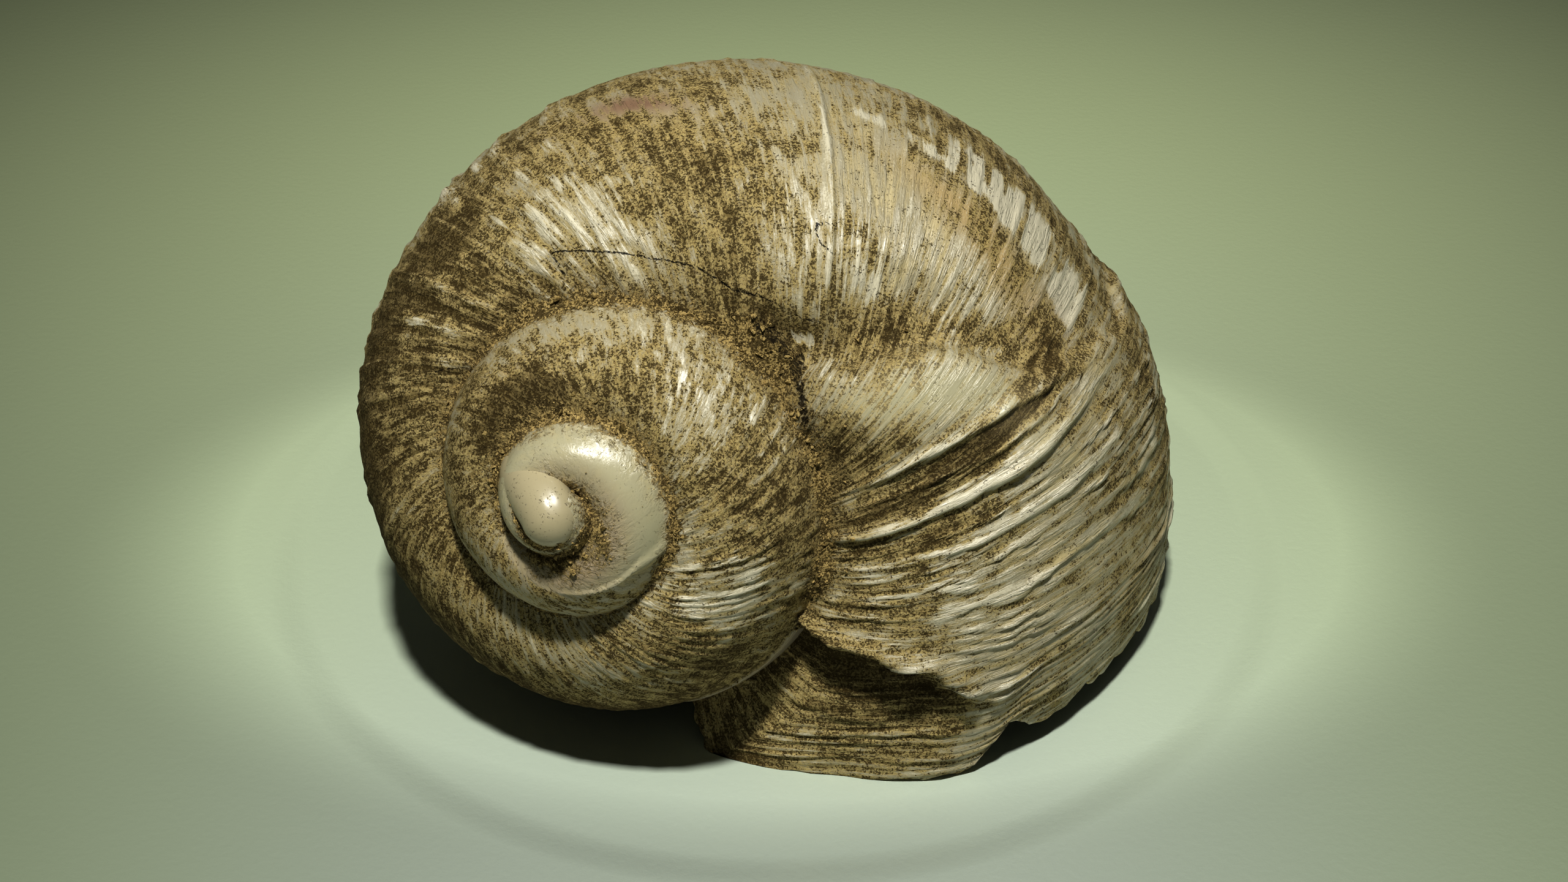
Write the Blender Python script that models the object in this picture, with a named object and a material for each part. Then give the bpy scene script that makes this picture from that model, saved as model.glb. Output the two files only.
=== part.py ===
"""A land snail shell, lying on its mouth as an empty shell is found.

The shell is one piece. Its body is a tube that grows as it coils round an axis, and each whorl of
the tube swallows part of the whorl before it. The mouth is open at the flat rim that the shell
rests on, and the hollow runs back from there for two thirds of a whorl.

A place on the shell has an age, in turns of the coil, and an angle round the tube's section. The
age is 0 where the lip meets the seam, and negative towards the apex. The section angle is 0 at the
periphery, 90 degrees on the apex side, 180 at the coiling axis and -90 on the base.
"""

import math

import bmesh
import bpy
import numpy as np
from mathutils import Vector

MM = 0.001

# The coil: its reach from the axis at age 0, and how the logarithm of that reach changes with age.
LIP_REACH = 24.41 * MM
GROWTH = (1.0163, 0.2774, 0.0777)
FIRST_AGE = -3.2
DROP = 1.111
DROP_GAIN = 0.0276

# The tube's section, as shares of the reach: half its width, and its height each side of the middle.
HALF_WIDTH = 0.473
APEX_SIDE = 0.7245
BASE_SIDE = 0.569

# How the shell lies: the axis tips from upright and swings to the side, and the tube starts its
# last seam at this angle round the axis.
TIP = math.radians(69.0)
SWING = math.radians(-19.26)
SEAM_START = math.radians(-34.08)
APEX_HEIGHT = 16.8 * MM

# Growth lines are slanted: each lags most at this section angle and leads again towards the seam.
SLANT_ANGLE = math.radians(-60.0)
SLANT_STEP = math.radians(60.0)
SLANT = 0.018
BASE_SLANT = 0.045
MOST_SLANT = 0.131

# The lip follows the flat that the shell rests on, save where it is broken short.
LAST_SLANTED_LINE = -0.10
SEAM_LIP_AGE = 0.105
PILLAR_LIP_AGE = 0.055
LIP_SEARCH_FROM = -0.15
LIP_MARGIN = 0.012
SHORT_LIP = 0.010

# Walls and the small parts at the middle of the coil.
WALL = 1.0 * MM
HOLLOW_AGES = (-0.72, 0.24)
SOLID_WHORLS_END = -0.74
GLAZE = 0.15 * MM
NUCLEUS_RADIUS = 1.0 * MM
NUCLEUS_RISE = 0.2 * MM
PILLAR_DEPTHS = (2.0 * MM, 19.0 * MM)
PILLAR_SPREAD = 0.10

# Relief of the outer face: growth ribs, the healed break with a sunken strip before it and a
# swelling after it, the thick rib near the top, and the low plate that was added last at the lip.
RIB_FIRST_LINE = -0.66
RIB_SPACING = 0.0165
RIB_HEIGHT = 0.22 * MM
RIB_UNEVENNESS = 0.38
RIB_BEATS = (2.1, 0.37)
CROWDED_LINE = -0.08
CROWDED_WIDTH = 0.02
CROWDED_LOSS = 0.65
SCAR_DEPTH = 1.25 * MM
SCAR_WIDTH = 0.030
SCAR_EDGE = 0.0025
SCAR_BOTTOM = 0.45
SCAR_SHALLOW = 0.35
SCAR_SWELLING = 0.55 * MM
SCAR_SWELLING_WIDTH = 0.9
VARIX_LINE = -0.325
VARIX_WIDTH = 0.004
VARIX_HEIGHT = 0.35 * MM
PLATE_DROP = 0.75 * MM
PLATE_AGE = -0.020
PLATE_EDGE = 0.003
PLATE_WAVE = 0.008
PLATE_WAVES = 5.0

# Steps along the section angle, each as its middle and its half-width in degrees. A pair of them
# bounds an arc.
LIP_SEAM_SIDE = ((-60.0, 30.0), (150.0, 12.0))
LIP_SHORT_ARC = ((-45.0, 8.0), (45.0, 2.0))
RIBBED_ARC = ((-75.0, 14.0), (93.0, 4.0))
VARIX_START = (-10.0, 8.0)
SCAR_START = (-30.0, 14.0)
SCAR_DEEP_START = (38.0, 14.0)
PLATE_START = (50.0, 5.0)
RELIEF_END = (112.0, 5.0)

# The healed break's edge: its age on the base, and how far each step along the section moves it.
SCAR_BASE_AGE = -0.178
SCAR_STEPS = ((0.023, (-8.0, 10.0)), (-0.030, (52.0, 9.0)), (-0.012, (84.0, 3.0)))

# The grid: rows to a turn, and columns round the section.
INNER_ROWS = 24
PLAIN_ROWS = 30
HOLLOW_ROWS = 24
HOLLOW_COLUMNS = 18
OPEN_COLUMNS = 20
HIDDEN_COLUMNS = 4
OPEN_ARC = (math.radians(-165.0), math.radians(102.0))
LAST_ROW_OVERRUN = 0.25
FULL_TURN = 2 * math.pi
HALVINGS = 30

SHELL_COLOUR = (0.52, 0.43, 0.29, 1.0)
SHELL_ROUGHNESS = 0.62
SHARP_ANGLE = math.radians(35.0)


def reach(age):
    """The tube's furthest reach from the coiling axis."""
    first, second, third = GROWTH
    return LIP_REACH * np.exp(first * age + second * age**2 + third * age**3)


def bump(value, centre, width):
    """A smooth hump of height 1."""
    return np.exp(-(((value - centre) / width) ** 2))


def rise(value, centre, width):
    """A smooth step from 0 to 1."""
    return 0.5 + 0.5 * np.tanh((value - centre) / width)


def rise_at(angle, step):
    """The same step over a section angle, with its middle and half-width in degrees."""
    centre, width = step
    return rise(angle, math.radians(centre), math.radians(width))


def within(angle, arc):
    """1 inside an arc of section angles and 0 outside it, between the arc's two steps."""
    start, end = arc
    return rise_at(angle, start) * (1 - rise_at(angle, end))


def place(age, angle, lift):
    """The point at an age and a section angle, this far outside the plain tube."""
    size = reach(age)
    across = (HALF_WIDTH * size + lift) * np.cos(angle)
    tall = np.where(np.sin(angle) > 0, APEX_SIDE, BASE_SIDE) * size + lift
    radius = size * (1 - HALF_WIDTH) + across
    depth = DROP * size * (1 + DROP_GAIN * age) - tall * np.sin(angle)
    turned = SEAM_START - FULL_TURN * age
    return np.stack([radius * np.cos(turned), radius * np.sin(turned), -depth], axis=-1)


def height_above_rest(age, angle):
    """How high a point of the plain tube lies over the flat that the shell rests on."""
    point = place(age, angle, 0.0)
    return APEX_HEIGHT + point[..., 1] * math.sin(TIP) + point[..., 2] * math.cos(TIP)


def lip_age(angle):
    """Where the tube ends at each section angle: on the resting flat, or at the lip's seam."""
    furthest = PILLAR_LIP_AGE + (SEAM_LIP_AGE - PILLAR_LIP_AGE) * within(angle, LIP_SEAM_SIDE)
    low = np.full_like(angle, LIP_SEARCH_FROM)
    high = np.full_like(angle, SEAM_LIP_AGE)
    for _ in range(HALVINGS):
        middle = 0.5 * (low + high)
        above = height_above_rest(middle, angle) > 0
        low = np.where(above, middle, low)
        high = np.where(above, high, middle)
    shortening = (SHORT_LIP + LIP_MARGIN) * within(angle, LIP_SHORT_ARC)
    return np.minimum(low + LIP_MARGIN, furthest) - shortening


def slanted_age(line, angle):
    """The age of a point on a growth line. Lines near the lip turn to follow it."""
    steps = (angle - SLANT_ANGLE) / SLANT_STEP
    slant = np.minimum(np.where(steps > 0, SLANT, BASE_SLANT) * steps**2, MOST_SLANT)
    share = np.clip(1 - line / LAST_SLANTED_LINE, 0.0, 1.0)
    plain = np.minimum(line, LAST_SLANTED_LINE) + slant
    return (1 - share) * plain + share * lip_age(angle)


def scar_age(angle):
    """The healed break's edge: it lies furthest back at the seam and leads over the shoulder."""
    return SCAR_BASE_AGE + sum(amount * rise_at(angle, step) for amount, step in SCAR_STEPS)


def rib_relief(line, angle):
    """Growth ribs of uneven height, which fade out on the base."""
    phase = (line - RIB_FIRST_LINE) / RIB_SPACING
    fast, slow = RIB_BEATS
    beats = np.sin(fast * phase) * np.sin(slow * phase + 1.0)
    height = RIB_HEIGHT * (1 - RIB_UNEVENNESS * (1 - beats))
    height = height * (1 - CROWDED_LOSS * rise(line, CROWDED_LINE, CROWDED_WIDTH))
    ribbed = within(angle, RIBBED_ARC) * (line >= RIB_FIRST_LINE)
    varix = bump(line, VARIX_LINE, VARIX_WIDTH) * rise_at(angle, VARIX_START)
    return height * ribbed * np.cos(FULL_TURN * phase) + VARIX_HEIGHT * varix


def scar_relief(age, angle):
    """The sunken strip before the healed break and the swelling after it."""
    past = age - scar_age(angle)
    after = rise(past, 0.0, SCAR_EDGE)
    deep = SCAR_SHALLOW + (1 - SCAR_SHALLOW) * rise_at(angle, SCAR_DEEP_START)
    sunken = bump(past, -SCAR_BOTTOM * SCAR_WIDTH, SCAR_WIDTH) * (1 - after) * deep
    swelling_width = SCAR_SWELLING_WIDTH * SCAR_WIDTH
    swollen = bump(past, swelling_width, swelling_width) * after
    return (SCAR_SWELLING * swollen - SCAR_DEPTH * sunken) * rise_at(angle, SCAR_START)


def outer_relief(line, age, angle):
    """The height of the outer face over the plain tube."""
    plate_age = PLATE_AGE + PLATE_WAVE * np.sin(PLATE_WAVES * angle)
    plate = rise(age, plate_age, PLATE_EDGE) * rise_at(angle, PLATE_START)
    height = rib_relief(line, angle) + scar_relief(age, angle) - PLATE_DROP * plate
    return height * (1 - rise_at(angle, RELIEF_END))


def object_from(made, name):
    """A new object that takes over this bmesh, shaded smooth save at sharp edges."""
    mesh = bpy.data.meshes.new(name)
    made.to_mesh(mesh)
    made.free()
    mesh.shade_smooth()
    mesh.set_sharp_from_angle(angle=SHARP_ANGLE)
    return bpy.data.objects.new(name, mesh)


def tube(name, points):
    """A closed tube from a grid of points, whose last column joins the first, capped at each end."""
    rows, columns = points.shape[:2]
    mesh_grid = bmesh.new()
    bmesh.ops.create_grid(mesh_grid, x_segments=rows - 1, y_segments=columns, size=1.0)
    for vert in mesh_grid.verts:
        row = round((vert.co.x + 1) / 2 * (rows - 1))
        column = round((vert.co.y + 1) / 2 * columns) % columns
        vert.co = Vector(points[row, column])
    bmesh.ops.remove_doubles(mesh_grid, verts=mesh_grid.verts, dist=1e-7)
    open_edges = [edge for edge in mesh_grid.edges if edge.is_boundary]
    caps = bmesh.ops.holes_fill(mesh_grid, edges=open_edges, sides=0)["faces"]
    bmesh.ops.poke(mesh_grid, faces=caps)
    bmesh.ops.triangulate(mesh_grid, faces=mesh_grid.faces)
    bmesh.ops.recalc_face_normals(mesh_grid, faces=mesh_grid.faces)
    return object_from(mesh_grid, name)


def section_angles():
    """Section angles, close together where the tube shows and far apart inside the last whorl."""
    start, end = OPEN_ARC
    shown = np.linspace(start, end, OPEN_COLUMNS, endpoint=False)
    hidden = np.linspace(end, start + FULL_TURN, HIDDEN_COLUMNS, endpoint=False)
    return np.concatenate([shown, hidden])


def whorls():
    """The whole tube, with its ribs and scars."""
    inner = np.arange(FIRST_AGE, -1.0, 1 / INNER_ROWS)
    plain = np.arange(-1.0, RIB_FIRST_LINE, 1 / PLAIN_ROWS)
    ribbed = np.arange(RIB_FIRST_LINE, LAST_ROW_OVERRUN * RIB_SPACING, RIB_SPACING / 2)
    lines = np.concatenate([inner, plain, np.minimum(ribbed, 0.0)])[:, None]
    angles = section_angles()[None, :]
    ages = slanted_age(lines, angles)
    return tube("shell", place(ages, angles, outer_relief(lines, ages, angles)))


def solid_whorls():
    """The part of the tube that stays filled: the hollow of the last whorl goes round it."""
    ages = np.arange(FIRST_AGE, SOLID_WHORLS_END, 1 / HOLLOW_ROWS)[:, None]
    angles = section_angles()[None, :]
    return tube("solid_whorls", place(ages, angles, GLAZE))


def hollow():
    """The inside of the last whorl, out through the mouth."""
    ages = np.arange(*HOLLOW_AGES, 1 / HOLLOW_ROWS)[:, None]
    first = OPEN_ARC[0]
    angles = np.linspace(first, first + FULL_TURN, HOLLOW_COLUMNS, endpoint=False)[None, :]
    sunken = np.minimum(scar_relief(ages, angles), 0.0)
    return tube("hollow", place(ages, angles, sunken - WALL))


def pillar():
    """The solid core along the coiling axis."""
    top, foot = PILLAR_DEPTHS
    cone = bmesh.new()
    bmesh.ops.create_cone(
        cone,
        cap_ends=True,
        segments=16,
        radius1=PILLAR_SPREAD * foot,
        radius2=PILLAR_SPREAD * top,
        depth=foot - top,
    )
    bmesh.ops.translate(cone, verts=cone.verts, vec=Vector((0, 0, -(foot + top) / 2)))
    return object_from(cone, "pillar")


def nucleus():
    """The round bead that the coil starts from."""
    ring = place(np.array(FIRST_AGE), np.linspace(0, FULL_TURN, 8, endpoint=False), 0.0)
    centre = Vector(ring.mean(axis=0)) + Vector((0, 0, NUCLEUS_RISE))
    bead = bmesh.new()
    bmesh.ops.create_icosphere(bead, subdivisions=2, radius=NUCLEUS_RADIUS)
    bmesh.ops.translate(bead, verts=bead.verts, vec=centre)
    return object_from(bead, "nucleus")


def ground():
    """A block under the resting flat, which trims the lip."""
    side = 4 * LIP_REACH
    block = bmesh.new()
    bmesh.ops.create_cube(block, size=side)
    trim = object_from(block, "ground")
    trim.location = (0, 0, -side / 2)
    return trim


def add_boolean(target, operation, other, itself=False):
    """A Boolean modifier on the target, which may also merge the target's own overlaps."""
    modifier = target.modifiers.new(f"{operation.lower()}_{other.name}", "BOOLEAN")
    modifier.operation = operation
    modifier.object = other
    modifier.use_self = itself


def shell_material():
    """Dull cream shell under a film of dried soil."""
    material = bpy.data.materials.new("weathered_shell")
    material.use_nodes = True
    shader = material.node_tree.nodes["Principled BSDF"]
    shader.inputs["Base Color"].default_value = SHELL_COLOUR
    shader.inputs["Roughness"].default_value = SHELL_ROUGHNESS
    shader.inputs["Metallic"].default_value = 0.0
    return material


def collection(name):
    """A new collection in the scene."""
    made = bpy.data.collections.new(name)
    bpy.context.scene.collection.children.link(made)
    return made


def build():
    """Makes the shell, cuts its hollow and its resting flat, and puts the origin under its middle."""
    for old in list(bpy.data.objects):
        bpy.data.objects.remove(old)
    parts = collection("land_snail_shell")
    cutters = collection("cutters")
    cutters.hide_render = True

    rest = bpy.data.objects.new("resting_pose", None)
    rest.location = (0, 0, APEX_HEIGHT)
    rest.rotation_euler = (TIP, 0, SWING)
    parts.objects.link(rest)
    bpy.context.view_layer.update()

    shell = whorls()
    filled, inside, core, bead = solid_whorls(), hollow(), pillar(), nucleus()
    trim = ground()
    parts.objects.link(shell)
    for piece in (shell, filled, inside, core, bead):
        piece.parent = rest
    for helper in (filled, inside, core, bead, trim):
        cutters.objects.link(helper)
        helper.hide_render = True
        helper.display_type = "WIRE"

    add_boolean(inside, "DIFFERENCE", filled, itself=True)
    add_boolean(shell, "UNION", core, itself=True)
    add_boolean(shell, "UNION", bead)
    add_boolean(shell, "DIFFERENCE", inside)
    add_boolean(shell, "DIFFERENCE", trim)
    shell.data.materials.append(shell_material())

    bpy.context.view_layer.update()
    ready = shell.evaluated_get(bpy.context.evaluated_depsgraph_get())
    corners = np.array([ready.matrix_world @ vert.co for vert in ready.data.vertices])
    middle = (corners.min(axis=0) + corners.max(axis=0)) / 2
    rest.location.x -= middle[0]
    rest.location.y -= middle[1]
    bpy.context.view_layer.update()


build()
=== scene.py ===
"""The looks of the land snail shell: its weathered surface, the soil in its seams, and the studio.

The shell's surface is one closed sheet. It starts at the apex, runs down the coil to the lip, turns
over the rim and goes back up the inside of the last whorl. Only the round end of the first whorl has
a mesh of its own. A place on the sheet has a line, which numbers the growth lines in turns of the
coil (0 at the lip, negative towards the apex), and an angle round the tube's section (0 at the
periphery, 90 degrees on the apex side, -90 on the base).
"""

import logging
import math
from dataclasses import dataclass, field
from enum import Enum
from functools import partial, reduce

import bmesh
import bpy
import numpy as np
from mathutils import Matrix, Vector

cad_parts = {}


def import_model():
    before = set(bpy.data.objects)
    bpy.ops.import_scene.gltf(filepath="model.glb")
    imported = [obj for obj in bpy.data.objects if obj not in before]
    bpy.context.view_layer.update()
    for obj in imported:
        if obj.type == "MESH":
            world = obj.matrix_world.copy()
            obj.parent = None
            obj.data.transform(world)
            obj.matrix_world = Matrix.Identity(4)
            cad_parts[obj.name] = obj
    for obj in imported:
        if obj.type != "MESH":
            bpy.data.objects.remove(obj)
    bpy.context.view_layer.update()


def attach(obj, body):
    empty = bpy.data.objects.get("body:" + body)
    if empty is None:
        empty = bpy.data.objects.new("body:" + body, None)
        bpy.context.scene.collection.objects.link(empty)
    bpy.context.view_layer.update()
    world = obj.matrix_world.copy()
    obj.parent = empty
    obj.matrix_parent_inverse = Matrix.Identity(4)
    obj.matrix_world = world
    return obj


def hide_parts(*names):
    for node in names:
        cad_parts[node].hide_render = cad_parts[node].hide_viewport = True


MM = 0.001
MAP_RADIUS = 12.0
FULL_TURN = 2 * math.pi
log = logging.getLogger("land_snail_shell")

Array = np.ndarray
Step = tuple[float, float]
Table = tuple[tuple[float, float], ...]
Socket = bpy.types.NodeSocket


def bump(value: Array, centre: float, width: float) -> Array:
    """A smooth hump of height 1."""
    return np.exp(-(((value - centre) / width) ** 2))


def rise(value: Array, centre: float, width: float) -> Array:
    """A smooth step from 0 to 1."""
    return 0.5 + 0.5 * np.tanh((value - centre) / width)


def rise_at(angle: Array, step: Step) -> Array:
    """A smooth step over a section angle, given by its middle and half-width in degrees."""
    return rise(angle, math.radians(step[0]), math.radians(step[1]))


def within(angle: Array, start: Step, end: Step) -> Array:
    """1 between two steps over the section angle and 0 outside them."""
    return rise_at(angle, start) * (1 - rise_at(angle, end))


def ease(value: Array, low: float, high: float) -> Array:
    """A step from 0 at low to 1 at high, with flat ends."""
    share = np.clip((value - low) / (high - low), 0.0, 1.0)
    return share * share * (3 - 2 * share)


def turned(first: Array, second: Array, angle: float) -> tuple[Array, Array]:
    """Two coordinates, turned by an angle."""
    across, up = math.cos(angle), math.sin(angle)
    return first * across - second * up, first * up + second * across


def uneven_bump(value: Array, centre: Array | float, before: float, after: float) -> Array:
    """A smooth hump of height 1, with a half-width on each side."""
    return np.where(value < centre, bump(value, centre, before), bump(value, centre, after))


def read_table(table: Table, place: Array) -> Array:
    """Reads a table of places and their values, straight between its rows."""
    return np.interp(place, *zip(*table))


class Noise:
    """Smooth noise read from a seeded lattice, from 0 to 1."""

    def __init__(self, seed: int, size: int = 48) -> None:
        """Fills the lattice.

        Args:
            seed: The lattice's seed.
            size: How many cells the lattice has each way before it repeats.
        """
        self.size = size
        self.lattice = np.random.default_rng(seed).random((size, size, size)).astype(np.float32)

    def at(self, first: Array, second: Array | float = 0.0, third: Array | float = 0.0) -> Array:
        """Reads the noise.

        Args:
            first: The first coordinate, in cells.
            second: The second coordinate, in cells.
            third: The third coordinate, in cells.

        Returns:
            Values from 0 to 1, in the coordinates' common shape.
        """
        axes = np.broadcast_arrays(first, second, third)
        cells = [np.floor(axis).astype(int) for axis in axes]
        shares = [(axis - cell) ** 2 * (3 - 2 * (axis - cell)) for axis, cell in zip(axes, cells)]
        total = np.zeros(axes[0].shape)
        for corner in range(8):
            picks, weight = [], 1.0
            for axis in range(3):
                step = corner >> axis & 1
                picks.append((cells[axis] + step) % self.size)
                weight = weight * (shares[axis] if step else 1 - shares[axis])
            total += weight * self.lattice[tuple(picks)]
        return total

    def rough(self, points: Array, cell: float, octaves: int = 3) -> Array:
        """Several layers of noise in space, each half the size of the one before.

        Args:
            points: Points, in metres.
            cell: The coarsest layer's cell, in metres.
            octaves: How many layers there are.

        Returns:
            Values from 0 to 1.
        """
        total, weight, whole = 0.0, 1.0, 0.0
        for octave in range(octaves):
            x, y, z = (points[..., axis] * 2**octave / cell + 7.3 * octave for axis in range(3))
            total = total + weight * self.at(0.8 * x - 0.6 * y, 0.6 * x + 0.8 * y, z)
            whole += weight
            weight *= 0.5
        return total / whole


@dataclass(frozen=True)
class GrowthLaw:
    """The coil, the tube's section, the growth lines and the pose. Sizes are as in the solid."""

    lip_reach: float = 24.41 * MM
    growth: tuple[float, float, float] = (1.0163, 0.2774, 0.0777)
    first_line: float = -3.2
    first_whorl_end: float = -2.35
    first_fullness: float = 0.4
    drop: float = 1.111
    drop_gain: float = 0.0276
    half_width: float = 0.473
    apex_side: float = 0.7245
    base_side: float = 0.569
    tip: float = math.radians(69.0)
    swing: float = math.radians(-19.26)
    seam_start: float = math.radians(-34.08)
    apex: tuple[float, float, float] = (-9.8881 * MM, -15.7256 * MM, 16.8 * MM)
    slant_angle: float = math.radians(-60.0)
    slant_step: float = math.radians(60.0)
    slant: float = 0.018
    base_slant: float = 0.045
    most_slant: float = 0.131
    slant_gains: Table = ((-0.60, 1.0), (-0.342, 1.33), (-0.171, 0.74), (-0.10, 0.76))
    last_slanted_line: float = -0.10
    sweep_gains: Table = ((-1.15, 0.0), (-0.95, 1.0), (-0.82, 0.9), (-0.65, 0.6), (-0.40, 0.0))
    sweep_angle: float = math.radians(45.0)
    sweep: float = 0.11
    lip_search_from: float = -0.15
    seam_lip_age: float = 0.105
    pillar_lip_age: float = 0.055
    short_lip: float = 0.010
    shoulder_share: float = 0.8

    def reach(self, age: Array) -> Array:
        """The tube's furthest reach from the coiling axis."""
        first, second, third = self.growth
        return self.lip_reach * np.exp(first * age + second * age**2 + third * age**3)

    def length_along(self, line: Array | float) -> Array:
        """The length along the shoulder up to a growth line, in millimetres."""
        samples = np.linspace(self.first_line, 0.02, 400)
        speeds = FULL_TURN * self.shoulder_share * self.reach(samples)
        lengths = np.cumsum(speeds) * (samples[1] - samples[0]) / MM
        return np.interp(line, samples, lengths)

    def on_map(self, line: Array | float, angle: Array | float) -> Array:
        """The place in the map that follows the growth lines, in millimetres."""
        return np.stack([self.length_along(line) + 0 * angle, MAP_RADIUS * angle], axis=-1)

    def section(self, age: Array) -> tuple[Array, Array]:
        """The distance of the section's middle from the axis, and its depth below the apex."""
        size = self.reach(age)
        return size * (1 - self.half_width), self.drop * size * (1 + self.drop_gain * age)

    def coil_point(self, age: Array, angle: Array, lift: Array, scale: Array) -> tuple[Array, Array]:
        """A point's distance from the axis and its depth.

        Args:
            age: The point's age, in turns.
            angle: Its section angle.
            lift: How far outside the plain tube it lies.
            scale: The section's size, as a share of its full size.

        Returns:
            The two distances, in metres.
        """
        size = self.reach(age)
        middle, depth = self.section(age)
        across = (self.half_width * size + lift) * np.cos(angle) * scale
        tall = np.where(np.sin(angle) > 0, self.apex_side, self.base_side) * size + lift
        rising = np.sin(angle)
        inner = (rising > 0) & (np.cos(angle) < 0)
        fuller = 1 - (1 - self.first_fullness) * (1 - rise(age, self.first_whorl_end, 0.05))
        rising = np.where(inner, np.abs(rising) ** fuller, rising)
        return middle + across, depth - tall * rising * scale

    def to_world(self, age: Array, radius: Array, depth: Array) -> Array:
        """Points in the model's frame, from their age, distance from the axis and depth."""
        way = self.seam_start - FULL_TURN * age
        x, y, z = radius * np.cos(way), radius * np.sin(way), -depth
        y, z = turned(y, z, self.tip)
        x, y = turned(x, y, self.swing)
        return np.stack([x + self.apex[0], y + self.apex[1], z + self.apex[2]], axis=-1)

    def place(
        self, age: Array, angle: Array, lift: Array | float = 0.0, scale: Array | float = 1.0
    ) -> Array:
        """The point in the model's frame at an age and a section angle."""
        radius, depth = self.coil_point(age, angle, lift, scale)
        return self.to_world(age, radius, depth)

    def lip_age(self, angle: Array) -> Array:
        """Where the tube ends at each section angle: on the resting flat, or at the lip's seam."""
        seam_side = within(angle, (-60.0, 30.0), (150.0, 12.0))
        furthest = self.pillar_lip_age + (self.seam_lip_age - self.pillar_lip_age) * seam_side
        low = np.full_like(angle, self.lip_search_from)
        high = np.full_like(angle, self.seam_lip_age)
        for _ in range(24):
            middle = 0.5 * (low + high)
            above = self.place(middle, angle)[..., 2] > 0
            low = np.where(above, middle, low)
            high = np.where(above, high, middle)
        short = within(angle, (-45.0, 8.0), (45.0, 2.0))
        return np.minimum(low, furthest) - self.short_lip * short

    def slanted_age(self, line: Array, angle: Array, lip: Array) -> Array:
        """The age of a point on a growth line. Lines near the lip turn to follow it.

        Args:
            line: The growth line.
            angle: The section angle.
            lip: The lip's age at each section angle.

        Returns:
            The ages, in turns.
        """
        steps = (angle - self.slant_angle) / self.slant_step
        slant = np.minimum(np.where(steps > 0, self.slant, self.base_slant) * steps**2, self.most_slant)
        slant = slant * read_table(self.slant_gains, line)
        below = np.clip(self.sweep_angle - angle, 0.0, 0.7)
        slant = slant + self.sweep * below**2 * read_table(self.sweep_gains, line)
        share = np.clip(1 - line / self.last_slanted_line, 0.0, 1.0)
        return (1 - share) * (np.minimum(line, self.last_slanted_line) + slant) + share * lip

    def distance_to_whorl(self, age: Array, radius: Array, depth: Array) -> Array:
        """About how far a point of the coil is outside the section at another age, in metres."""
        size = self.reach(age)
        middle, centre_depth = self.section(age)
        across, up = radius - middle, centre_depth - depth
        wide = self.half_width * size
        tall = np.where(up > 0, self.apex_side, self.base_side) * size
        outside = (across / wide) ** 2 + (up / tall) ** 2 - 1
        slope = 2 * np.sqrt((across / wide**2) ** 2 + (up / tall**2) ** 2) + 1e-9
        return outside / slope


@dataclass(frozen=True)
class Patch:
    """A smooth patch on the shell.

    Attributes:
        line: The growth line of its middle.
        angle: The section angle of its middle, in degrees.
        length: Its half-length, in turns.
        width: Its half-width, in degrees.
        amount: Its strength.
    """

    line: float
    angle: float
    length: float
    width: float
    amount: float

    def at(self, line: Array, angle: Array) -> Array:
        """The patch's strength at each point."""
        far = bump(angle, math.radians(self.angle), math.radians(self.width))
        return self.amount * bump(line, self.line, self.length) * far


@dataclass(frozen=True)
class Crack:
    """A thin open line.

    Attributes:
        places: The growth lines and angles in degrees that it runs through.
        width: Its half-width, in millimetres.
    """

    places: tuple[tuple[float, float], ...]
    width: float

    def on_map(self, law: GrowthLaw) -> list[tuple[float, float, float]]:
        """The places in the map that follows the growth lines."""
        return [(*map(float, law.on_map(line, math.radians(angle))), 0.0) for line, angle in self.places]

    def at(self, law: GrowthLaw, line: Array, angle: Array) -> Array:
        """How much of each point is on the line, from 0 to 1."""
        spot = law.on_map(line, angle)
        path = [np.array(place[:2]) for place in self.on_map(law)]
        nearest = np.full(spot.shape[:-1], np.inf)
        for start, end in zip(path, path[1:]):
            along = end - start
            share = np.clip((spot - start) @ along / (along @ along), 0.0, 1.0)
            foot = start + share[..., None] * along
            nearest = np.minimum(nearest, np.linalg.norm(spot - foot, axis=-1))
        return 1 - ease(nearest, 0.3 * self.width, self.width)


@dataclass(frozen=True)
class RibCharacter:
    """How the ribs stand at a growth line.

    Attributes:
        line: The growth line.
        spacing: Their mean distance, in turns.
        height: Their greatest height, in metres.
        fullness: Their width, as a share of the distance.
    """

    line: float
    spacing: float
    height: float
    fullness: float = 0.42


@dataclass
class RibTable:
    """Ribs at uneven distances, as a profile over the growth lines.

    They drop steeply on the side of the lip.
    """

    seed: int
    characters: tuple[RibCharacter, ...]
    start: float = -2.1
    end: float = 0.02
    step: float = 0.0002
    steepness: float = 3.0
    lines: Array = field(init=False)
    heights: Array = field(init=False)

    def __post_init__(self) -> None:
        """Places the ribs one after the other."""
        draw = np.random.default_rng(self.seed)
        self.lines = np.arange(self.start, self.end, self.step)
        self.heights = np.zeros_like(self.lines)
        at = self.start
        while at < self.end:
            gap = self.character(at, "spacing") * draw.uniform(0.5, 1.5)
            height = self.character(at, "height") * draw.uniform(0.25, 1.0)
            across = (self.lines - at) / (self.character(at, "fullness") * gap)
            rib = np.exp(-np.abs(np.where(across < 0, across, self.steepness * across)) ** 1.8)
            self.heights = np.maximum(self.heights, height * rib)
            at += gap

    def character(self, line: float, name: str) -> float:
        """One of the ribs' characters at a growth line."""
        lines = [character.line for character in self.characters]
        values = [getattr(character, name) for character in self.characters]
        return float(np.interp(line, lines, values))

    def at(self, line: Array) -> Array:
        """The ribs' height at a growth line, in metres."""
        return np.interp(line, self.lines, self.heights)


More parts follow.
